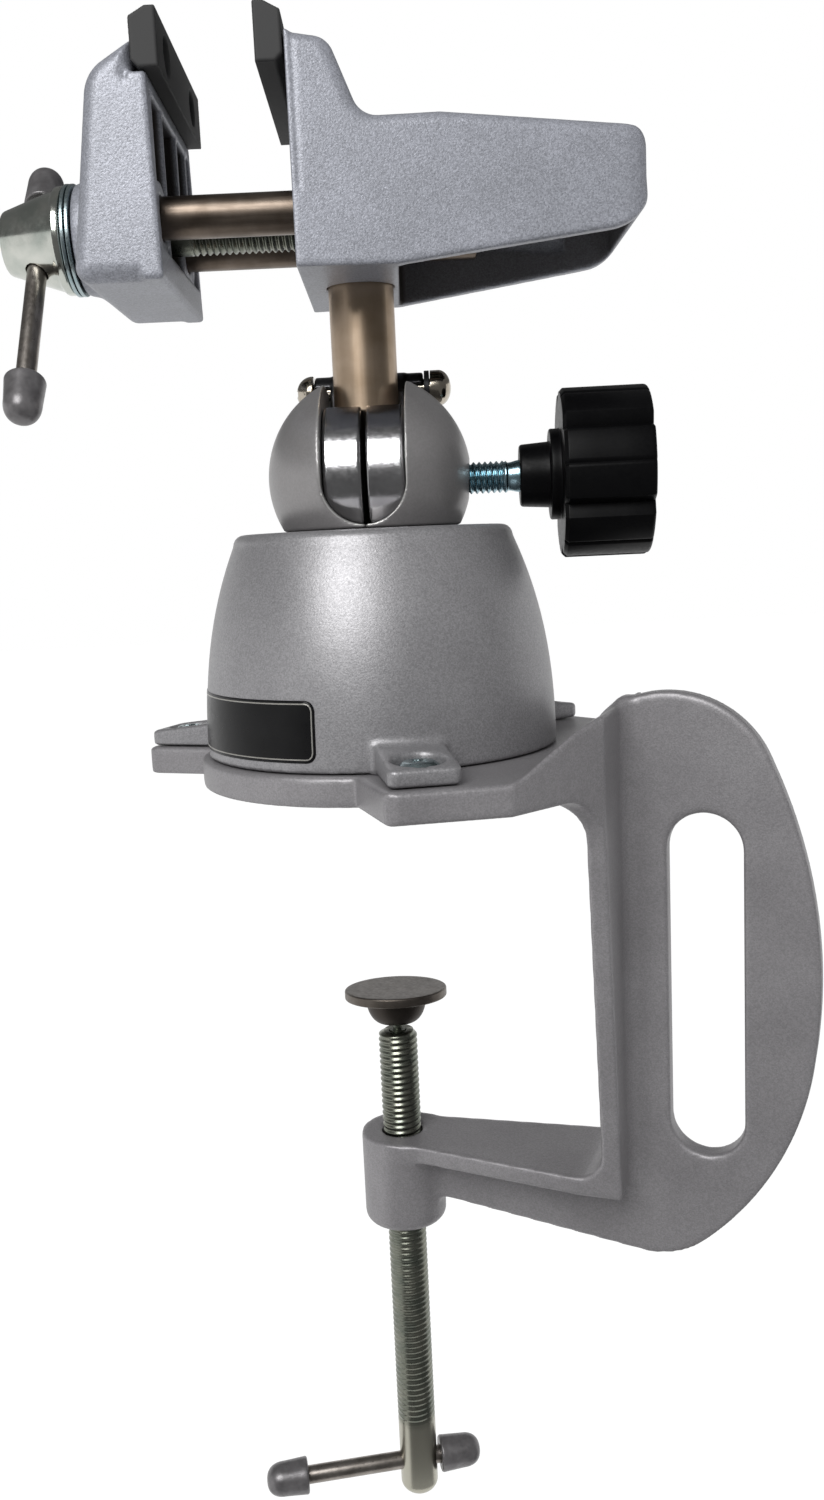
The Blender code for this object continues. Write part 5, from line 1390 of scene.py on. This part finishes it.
@dataclass
class ViseHead:
    """The post and the fixed jaw casting with its pad."""

    height: float = 75.6
    post_r: float = 7.94
    post_foot: float = -14.5
    gripped: float = 15.0
    floor: float = 44.0
    face_x: float = -13.4
    tail_x: float = 66.6
    front_half: float = 29.6
    tail_half: float = 23.5
    wall: float = 3.6
    block_end: float = 9.4
    corner_r: float = 7.0
    body_top: float = 75.6
    tail_top: float = 72.3
    tail_r: float = 4.5
    undercut_z: float = 51.6
    undercut_r: float = 11.0
    jaw_top: float = 93.2
    crown_x: float = -4.0
    crown_drop: float = 1.4
    crown_r: float = 5.0
    neck_x: float = 2.4
    neck_r: float = 5.5
    hump_x: float = 20.0
    hump_rise: float = 0.6
    hollow_foot: float = 30.0
    drive_z: float = 58.1
    rod_r: float = 4.7
    rod_y: float = 17.5
    rod_end: float = 29.5
    jaw_gap: float = 20.8
    screw_r: float = 4.65
    cast_edge: float = 3.0
    crisp_edge: float = 0.6
    soft_x: Pair = (0.6, 1.8)
    soft_z: Pair = (55.0, 62.0)
    post_edge: float = 0.9

    @property
    def where(self) -> Matrix:
        """Placement of the head, on the ball's centre."""
        return place((0.0, 0.0, self.height))

    @property
    def tail_end(self) -> float:
        """End of the tail's outlines: further out by what rounding two coincident ends takes off."""
        return self.tail_x + (1.0 - math.sqrt(0.5)) * self.cast_edge

    def side(self) -> Array:
        """Side outline of the fixed jaw: upright face, crown, neck, hump and undercut tail."""
        return rounded([
            (self.face_x, self.floor, 0.0), (self.face_x, self.jaw_top, 0.0),
            (self.crown_x, self.jaw_top - self.crown_drop, self.crown_r),
            (self.neck_x, self.body_top, self.neck_r), (self.hump_x, self.body_top + self.hump_rise, 0.0),
            (self.tail_end, self.tail_top, self.tail_r), (self.tail_end, self.undercut_z, self.undercut_r),
            (self.block_end, self.floor, 0.0)], steps=14)

    def plan(self, inset: float = 0.0) -> Array:
        """Plan outline of the fixed jaw: wide at the face and narrow at the tail.

        Args:
            inset: how far the sides and the tail are drawn in.

        Returns:
            The outline as an array of (x, y).
        """
        half = [(self.face_x - SEAT, self.front_half - inset, 0.0),
                (self.tail_end - inset, self.tail_half - inset, self.corner_r - inset)]
        return rounded(mirrored(half), steps=12)

    def fixed_jaw(self) -> None:
        """The casting: solid around post and rods, hollow and open below along its tail."""
        box = Lattice((-15.4, -31.5, 42.0), (68.6, 31.5, 95.2), step=0.55)
        x, y, z = box.x, box.y, box.z
        crisp_to, soft_from = (self.face_x + depth for depth in self.soft_x)
        soft = ease(x, crisp_to, soft_from) * ease(z, *self.soft_z)
        edge = self.crisp_edge + (self.cast_edge - self.crisp_edge) * soft
        solid = meet(outline_distance(x, z, self.side()), outline_distance(x, y, self.plan()), edge)
        under = np.array([(self.block_end, self.hollow_foot), (self.block_end, self.body_top - self.wall),
                          (self.tail_x, self.tail_top - self.wall), (self.tail_x, self.hollow_foot)])
        cavity = meet(outline_distance(x, z, under), outline_distance(x, y, self.plan(self.wall)), radius=2.0)
        solid = carve(solid, cavity, radius=0.7)
        bore_end = self.rod_end + self.jaw_gap + self.wall / 2.0
        rods = np.hypot(np.abs(y) - self.rod_y, z - self.drive_z) - self.rod_r - RUNNING
        thread = np.hypot(y, z - self.drive_z) - self.screw_r - RUNNING
        solid = carve(solid, meet(np.minimum(rods, thread), x - bore_end), radius=0.35)
        socket = meet(np.hypot(x, y) - self.post_r - RUNNING, z - self.drive_z - self.rod_r - self.post_r)
        solid = carve(solid, socket, radius=0.6)
        pads = JawPads()
        taps = np.hypot(np.abs(y) - pads.hole_y, z - pads.foot - pads.high / 2.0) - pads.screw_r - RUNNING
        solid = carve(solid, meet(taps, x - self.face_x - pads.tap_l), radius=0.2)
        points, quads = box.skin(solid)
        # Painted shade: the hollow under the tail takes the dark second colour.
        hollow = 1.0 - ease(outline_distance(points[:, 0], points[:, 1], self.plan(self.wall)), -0.3, 0.5)
        hollow *= ease(points[:, 0], self.block_end - 0.5, self.block_end + 0.3)
        roof = np.interp(points[:, 0], [self.block_end, self.tail_x], [self.body_top, self.tail_top])
        hollow *= 1.0 - ease(points[:, 2], roof - self.wall, roof - self.wall / 2.0)
        show("fixed_jaw_casting", (points, quads), self.where, HEAD_LACQUER, Body.HEAD, "fixed_jaw",
             bare_and_painted_light=hollow)

    def post(self) -> None:
        """The ground post, chamfered, and cross-drilled where the lead screw passes."""
        top = self.drive_z + self.rod_r + self.post_r - SEAT
        box = Lattice((-9.2, -9.2, self.post_foot - 1.2), (9.2, 9.2, top + 1.2), step=0.4)
        shaft = box.turned(pin(self.post_r, self.post_foot, top, self.post_edge, steps=10))
        cross = np.hypot(box.y, box.z - self.drive_z) - self.screw_r - 3.0 * RUNNING
        points, quads = box.skin(carve(shaft, cross, radius=0.3))
        # Painted shade: below the gripped level, inside the drum, the post takes the near black second
        # colour.
        show("ground_post", (points, quads), self.where, POST_STEEL, Body.HEAD, "post",
             bare_and_painted_light=1.0 - ease(points[:, 2], self.gripped - 0.6, self.gripped))

    def build(self) -> None:
        """Builds the post, the casting and its pad."""
        self.fixed_jaw()
        self.post()
        JawPads().build("fixed", self.where @ place((self.face_x - SEAT, 0.0, 0.0)), Body.HEAD)


@dataclass
class MovingJaw:
    """The moving jaw with its pad and rods, and the lead screw with its handle cone and bar."""

    head: ViseHead
    face_x: float = -43.7
    height: float = 133.7
    thick: float = 19.6
    crown_t: float = 13.6
    crown_drop: float = 6.3
    crown_r: float = 9.0
    heel_r: float = 3.5
    toe: float = 0.9
    floor_drop: float = 1.2
    rebate: float = 3.1
    half: float = 29.4
    wall: float = 3.4
    rib_t: float = 2.4
    rib_y: float = 9.6
    outer_rib_y: float = 23.0
    sleeve_r: float = 8.0
    cavity_floor: float = 50.5
    boss_r: float = 12.6
    boss_l: float = 3.3
    clip_seat: float = 11.6
    clip_r: float = 7.2
    clip_t: float = 1.2
    washer_r: float = 12.8
    washer_t: float = 0.9
    cone_r: float = 12.4
    cone_tip_r: float = 7.2
    cone_l: float = 15.6
    cone_bore: float = 5.2
    cone_bar_x: float = 7.6
    bar_r: float = 2.35
    bar_turn: float = -34.0
    bar_span: float = 42.4
    bar_rest: float = 11.6
    pitch: float = 1.5875
    depth: float = 0.62
    thread_start: Pair = (3.4, 4.8)
    end_chamfer: float = 0.7
    rod_edge: float = 0.6
    boss_draft: float = 0.5
    hollow_mouth: float = 30.0
    cast_edge: float = 3.8
    crisp_edge: float = 0.8

    @property
    def where(self) -> Matrix:
        """Placement of the drive axis at the jaw's inner face."""
        return place((self.face_x, 0.0, self.height))

    @property
    def cone_face(self) -> float:
        """Level of the cone's wide face along the drive axis."""
        return -self.thick - self.boss_l - 2.0 * self.washer_t - 3.0 * SEAT

    def casting(self) -> None:
        """The jaw casting: a rounded back, a rebate for the pad, and ribs and sleeves in its hollow face."""
        head, pads = self.head, JawPads()
        floor = head.floor - self.floor_drop - head.drive_z
        seat = pads.foot - head.drive_z
        top = head.jaw_top - head.drive_z
        box = Lattice((-24.5, -31.0, floor - 1.5), (2.2, 31.0, top + 1.5), step=0.5)
        x, y, z = box.x, box.y, box.z
        side = rounded([
            (self.toe, floor, self.toe), (0.0, seat - SEAT, 0.0), (-self.rebate, seat - SEAT, 0.0),
            (-self.rebate, top, 0.0), (-self.crown_t, top - self.crown_drop, self.crown_r),
            (-self.thick, floor, self.heel_r)], steps=14)
        soft = np.maximum(ease(x, -self.rebate - 0.2, -self.rebate - 1.4), ease(z, seat - 1.0, seat + 1.0))
        edge = self.crisp_edge + (self.cast_edge - self.crisp_edge) * soft
        solid = meet(outline_distance(x, z, side), np.abs(y) - self.half, edge)
        back = -self.thick + self.wall
        lean = self.thick - self.crown_t
        low = self.cavity_floor - head.drive_z
        room = np.array([(back, low), (self.hollow_mouth, low), (self.hollow_mouth, seat - self.wall),
                         (back + lean, seat - self.wall)])
        cavity = meet(outline_distance(x, z, room), np.abs(y) - self.half + self.wall, radius=1.0)
        solid = carve(solid, cavity, radius=0.5)
        embed = self.wall / 2.0
        web = np.array([(back - embed, floor + self.wall), (-RUNNING, floor + self.wall),
                        (-RUNNING, seat - embed), (back + lean - embed, seat - embed)])
        spacing = np.minimum(np.abs(np.abs(y) - self.rib_y), np.abs(np.abs(y) - self.outer_rib_y))
        ribs = meet(outline_distance(x, z, web), spacing - self.rib_t / 2.0, radius=0.4)
        solid = join(solid, ribs, radius=0.9)
        sleeve = np.hypot(np.abs(y) - head.rod_y, z)
        solid = join(solid, meet(sleeve - self.sleeve_r, slab(x, back, -SEAT), radius=0.4), radius=0.9)
        from_axis = np.hypot(y, z)
        outer = -self.thick - self.boss_l
        draft = self.boss_draft * ease(x, outer, -self.thick)
        boss = meet(from_axis - self.boss_r - draft, slab(x, outer, -self.clip_seat), radius=1.0)
        solid = join(solid, boss, radius=1.5)
        solid = carve(solid, meet(sleeve - head.rod_r - RUNNING, -self.crown_t - x), radius=0.3)
        solid = carve(solid, from_axis - head.screw_r - 2.0 * RUNNING, radius=0.3)
        taps = np.hypot(np.abs(y) - pads.hole_y, z - seat - pads.high / 2.0) - pads.screw_r - RUNNING
        solid = carve(solid, meet(taps, -self.rebate - pads.tap_l - x), radius=0.2)
        points, quads = box.skin(solid)
        # Painted shade: the hollow face behind the pad takes the dark second colour.
        depth = np.maximum(np.abs(points[:, 1]) - self.half + self.wall, points[:, 2] - seat + self.wall)
        depth = np.maximum(depth, low - points[:, 2])
        outside = np.interp(points[:, 2], [floor, top - self.crown_drop], [-self.thick, -self.crown_t])
        inward = points[:, 0] - outside
        hollow = (1.0 - ease(depth, -0.2, 0.6)) * ease(inward, self.wall * 0.5, self.wall * 0.8)
        hollow *= 1.0 - ease(points[:, 0], -1.6, -0.4)
        show("moving_jaw_casting", (points, quads), self.where, HEAD_LACQUER, Body.JAW, "moving_jaw",
             bare_and_painted_light=hollow)

    def rods(self) -> None:
        """Two ground guide rods with chamfered ends."""
        start = -self.crown_t + SEAT
        end = self.head.rod_end - self.face_x
        line = pin(self.head.rod_r, start, end, self.rod_edge)
        for name, y in (("front", -self.head.rod_y), ("rear", self.head.rod_y)):
            where = self.where @ place((0.0, y, 0.0)) @ ALONG_X
            show(f"ground_rod_{name}", lathe(line, steps=72), where, ROD_STEEL, Body.JAW, f"guide_rod_{name}",
                 sharp=SHARP_TURNED)

    def lead_screw(self) -> None:
        """The lead screw: plain through the jaw and for a short collar, then threaded to its end."""
        start = self.cone_face - self.cone_bore + SEAT
        end = self.head.rod_end - self.face_x
        radius = self.head.screw_r
        levels = thread_rows(start, end, self.pitch)
        chamfer = self.end_chamfer
        outer = np.minimum(radius, radius - chamfer + np.clip(end - levels, 0.0, chamfer))
        outer[[0, -1]] = 0.0
        depth = self.depth * ease(levels, *self.thread_start)
        show("lead_screw_shaft", threaded(levels, outer, depth, self.pitch), self.where @ ALONG_X, SCREW_ZINC,
             Body.DRIVE, "lead_screw", sharp=SHARP_THREAD)

    def cone(self) -> None:
        """The handle cone with its rolled rim and the hole for the bar."""
        face = self.cone_face
        tip = face - self.cone_l
        bore = self.head.screw_r + RUNNING
        box = Lattice((-13.4, -13.4, tip - 1.0), (13.4, 13.4, face + 1.0), step=0.3)
        profile = rounded([
            (0.0, tip, 0.0), (self.cone_tip_r, tip, 1.3), (self.cone_r - 0.75, face - 2.5, 1.0),
            (self.cone_r, face - 1.8, 0.4), (self.cone_r, face, 0.5), (bore, face, 0.3),
            (bore, face - self.cone_bore, 0.0), (0.0, face - self.cone_bore, 0.0)], steps=8)
        lean = math.radians(-self.bar_turn)
        across = box.x * math.cos(lean) - box.y * math.sin(lean)
        hole = np.hypot(across, box.z - face + self.cone_bar_x) - self.bar_r - RUNNING
        hub = box.skin(carve(box.turned(profile), hole, radius=0.35))
        show("handle_cone_hub", hub, self.where @ ALONG_X, CONE_ZINC, Body.DRIVE, "handle_cone")

    def washers(self) -> None:
        """Two pale zinc thrust washers under the cone, and the spring clip behind the jaw's boss."""
        bore = self.head.screw_r + RUNNING
        inner = -self.thick - self.boss_l - SEAT
        outer = inner - self.washer_t - SEAT
        clip = -self.clip_seat + SEAT + self.clip_t
        rows = (("inner_thrust_ring", "thrust_washer_inner", inner, self.washer_t, self.washer_r, PALE_ZINC),
                ("outer_thrust_ring", "thrust_washer_outer", outer, self.washer_t, self.washer_r, PALE_ZINC),
                ("spring_clip_ring", "retaining_clip", clip, self.clip_t, self.clip_r, BLACK_WASHER))
        for name, node, face, thick, radius, finish in rows:
            ring = rounded([(bore, face - thick, 0.1), (radius, face - thick, 0.2), (radius, face, 0.2),
                            (bore, face, 0.1)], steps=4)
            show(name, lathe(ring, steps=80, ring=True), self.where @ ALONG_X, finish, Body.DRIVE, node,
                 sharp=SHARP_THREAD)

    def build(self) -> None:
        """Builds the jaw, its pad and rods, and the drive with its bar."""
        self.casting()
        self.rods()
        flip = place((-self.rebate + SEAT, 0.0, -self.head.drive_z), turn=180.0)
        JawPads().build("moving", self.where @ flip, Body.JAW)
        self.lead_screw()
        self.cone()
        self.washers()
        where = self.where @ place((self.cone_face - self.cone_bar_x, 0.0, 0.0), turn=self.bar_turn, axis="X")
        CappedBar().build("jaw", ("upper", "lower"), where, Body.JAW_BAR, -self.bar_span, self.bar_rest)


@dataclass
class Studio:
    """The camera of the photograph, soft lamps, a pale floor and a white surround."""

    eye: Point = (7.884, -328.867, 57.8)
    yaw: float = 0.106
    pitch: float = 9.037
    roll: float = -2.641
    focal_px: float = 1293.9
    image_high: int = 1500
    sensor_mm: float = 36.0
    near_clip: float = 0.01
    floor_z: float = -234.6
    floor_half: float = 4.0
    floor_grey: float = 0.85
    floor_white: float = 1.1
    shadow_share: float = 0.1
    soft_light: float = 0.32
    soft_tint: Point = (0.97, 0.98, 1.0)
    aim: Point = (0.0, 0.0, 0.02)
    lamps: tuple[tuple[str, Point, float, float, bool], ...] = (
        ("key_lamp", (-0.3, -0.72, 0.6), 0.55, 8.8, True),
        ("fill_lamp", (0.75, -0.5, 0.5), 0.5, 2.4, False),
    )
    drape_r: float = 1.6
    drape_h: float = 1.2
    drape_r_near: float = 0.04
    drape_span: Pair = (-140.0, 5.0)
    drape_grey: float = 0.16
    canopy_r: float = 2.2
    canopy_rim: float = 0.6
    cloth_lift: float = 0.002

    def camera(self) -> None:
        """Sets the camera from its fitted place, turns and focal length."""
        yaw, pitch, roll = (math.radians(angle) for angle in (self.yaw, self.pitch, self.roll))
        ahead = Vector((-math.sin(yaw) * math.cos(pitch), math.cos(yaw) * math.cos(pitch), -math.sin(pitch)))
        right = Vector((math.cos(yaw), math.sin(yaw), 0.0))
        up = right.cross(ahead)
        across = math.cos(roll) * right + math.sin(roll) * up
        above = math.cos(roll) * up - math.sin(roll) * right
        data = bpy.data.cameras.new("photo_camera")
        data.sensor_fit = "VERTICAL"
        data.sensor_height = self.sensor_mm
        data.lens = self.focal_px * self.sensor_mm / self.image_high
        data.clip_start = self.near_clip
        eye = bpy.data.objects.new("photo_camera", data)
        turn = Matrix((across, above, -ahead)).transposed()
        eye.matrix_world = Matrix.Translation(Vector(self.eye) * MM) @ turn.to_4x4()
        bpy.context.scene.collection.objects.link(eye)
        bpy.context.scene.camera = eye

    def lamp(self, name: str, at: Point, size: float, power: float, shows: bool) -> None:
        """Adds a square soft lamp that faces the vise.

        Args:
            name: the lamp's name.
            at: its place in metres.
            size: its side in metres.
            power: its power in watts.
            shows: whether reflections show it.
        """
        data = bpy.data.lights.new(name, "AREA")
        data.size = size
        data.energy = power
        made = bpy.data.objects.new(name, data)
        made.location = at
        made.visible_glossy = shows
        made.rotation_euler = (Vector(self.aim) - Vector(at)).to_track_quat("-Z", "Y").to_euler()
        bpy.context.scene.collection.objects.link(made)

    def seen(self, tree: bpy.types.NodeTree) -> bpy.types.NodeSocket:
        """Gives 1 for what the camera sees, straight, in a reflection or through glass.

        Args:
            tree: the node tree that gets the nodes.

        Returns:
            The output socket.
        """
        path = add(tree, "LightPath")
        mirrored_too = add(tree, "Math", {0: path.outputs["Is Camera Ray"], 1: path.outputs["Is Glossy Ray"]},
                           operation="MAXIMUM")
        return add(tree, "Math", {0: mirrored_too.outputs[0], 1: path.outputs["Is Transmission Ray"]},
                   operation="MAXIMUM").outputs[0]

    def surround(self) -> None:
        """A world that is white to the eye and a soft grey as a light."""
        world = bpy.data.worlds.new("white_surround")
        world.use_nodes = True
        tree = world.node_tree
        tree.nodes.clear()
        soft = add(tree, "Background", {"Color": (*self.soft_tint, 1.0), "Strength": self.soft_light})
        white = add(tree, "Background", {"Color": (1.0, 1.0, 1.0, 1.0), "Strength": 1.0})
        mixed = add(tree, "MixShader", {0: self.seen(tree), 1: soft.outputs[0], 2: white.outputs[0]})
        add(tree, "OutputWorld", {"Surface": mixed.outputs[0]})
        bpy.context.scene.world = world

    def stand(self, name: str, surface: Surface, shader: str, colour: float) -> bpy.types.Object:
        """Stands a piece of the stage around the vise.

        Args:
            name: the piece's name.
            surface: points in metres and quads.
            shader: type of its shader node.
            colour: grey level of the shader.

        Returns:
            The new object.
        """
        points, quads = surface
        mesh = bpy.data.meshes.new(name)
        mesh.from_pydata(points.tolist(), [], quads.tolist())
        made = bpy.data.materials.new(name)
        made.use_nodes = True
        tree = made.node_tree
        tree.nodes.clear()
        matte = add(tree, shader, {"Color": (colour, colour, colour, 1.0)})
        add(tree, "OutputMaterial", {"Surface": matte.outputs[0]}, name="out")
        mesh.materials.append(made)
        stood = bpy.data.objects.new(name, mesh)
        bpy.context.scene.collection.objects.link(stood)
        return stood

    def floor(self) -> None:
        """A wide pale floor below the clamp screw's lowest reach, white but for the vise's shadow."""
        reach = np.linspace(-self.floor_half, self.floor_half, 3)
        x, y = np.meshgrid(reach, reach, indexing="ij")
        level = np.full_like(x, self.floor_z * MM)
        sheet = grid(np.stack([x, y, level], -1), wrap=False)
        plane = self.stand("pale_floor", sheet, "BsdfDiffuse", self.floor_grey)
        tree = plane.active_material.node_tree
        matte = tree.nodes["out"].inputs["Surface"].links[0].from_socket
        white = add(tree, "Emission", {"Color": (1.0, 1.0, 1.0, 1.0), "Strength": self.floor_white})
        share = add(tree, "Math", {0: self.seen(tree), 1: 1.0 - self.shadow_share}, operation="MULTIPLY")
        mixed = add(tree, "MixShader", {0: share.outputs[0], 1: matte, 2: white.outputs[0]})
        tree.links.new(mixed.outputs[0], tree.nodes["out"].inputs["Surface"])

    def drape(self) -> None:
        """Dark studio cloth in front, to the right and overhead, which only reflections show.

        Each cloth is a grid over an angle and a line of (radius, level): one lies on the floor and climbs the
        wall, and the other is a cone overhead.
        """
        ground = self.floor_z * MM + self.cloth_lift
        rows = (("dark_drape", self.drape_span, [(self.drape_r_near, ground), (self.drape_r, ground),
                                                 (self.drape_r, self.drape_h)]),
                ("dark_canopy", (0.0, 360.0), [(self.canopy_r, self.canopy_rim), (0.0, self.drape_h)]))
        for name, span, line in rows:
            angle = np.radians(np.linspace(*span, 60))
            radius, level = (column[:, None] for column in np.array(line).T)
            points = np.stack([radius * np.cos(angle), radius * np.sin(angle), level + 0.0 * angle], -1)
            cloth = self.stand(name, grid(points, wrap=False), "Emission", self.drape_grey)
            for kind in ("camera", "diffuse", "transmission", "shadow"):
                setattr(cloth, f"visible_{kind}", False)

    def build(self) -> None:
        """Sets the stage."""
        bpy.context.scene.view_settings.view_transform = "Standard"
        self.camera()
        self.surround()
        self.floor()
        self.drape()
        for row in self.lamps:
            self.lamp(*row)


def main() -> None:
    """Dresses the vise piece by piece and sets the stage, logging each piece's faces."""
    logging.basicConfig(level=logging.INFO, format="%(name)s %(message)s")
    head = ViseHead()
    for assembly in (BenchMount(), ClampDrive(), BallJoint(), head, MovingJaw(head=head), Studio()):
        assembly.build()


if __name__ == "__main__":
    main()
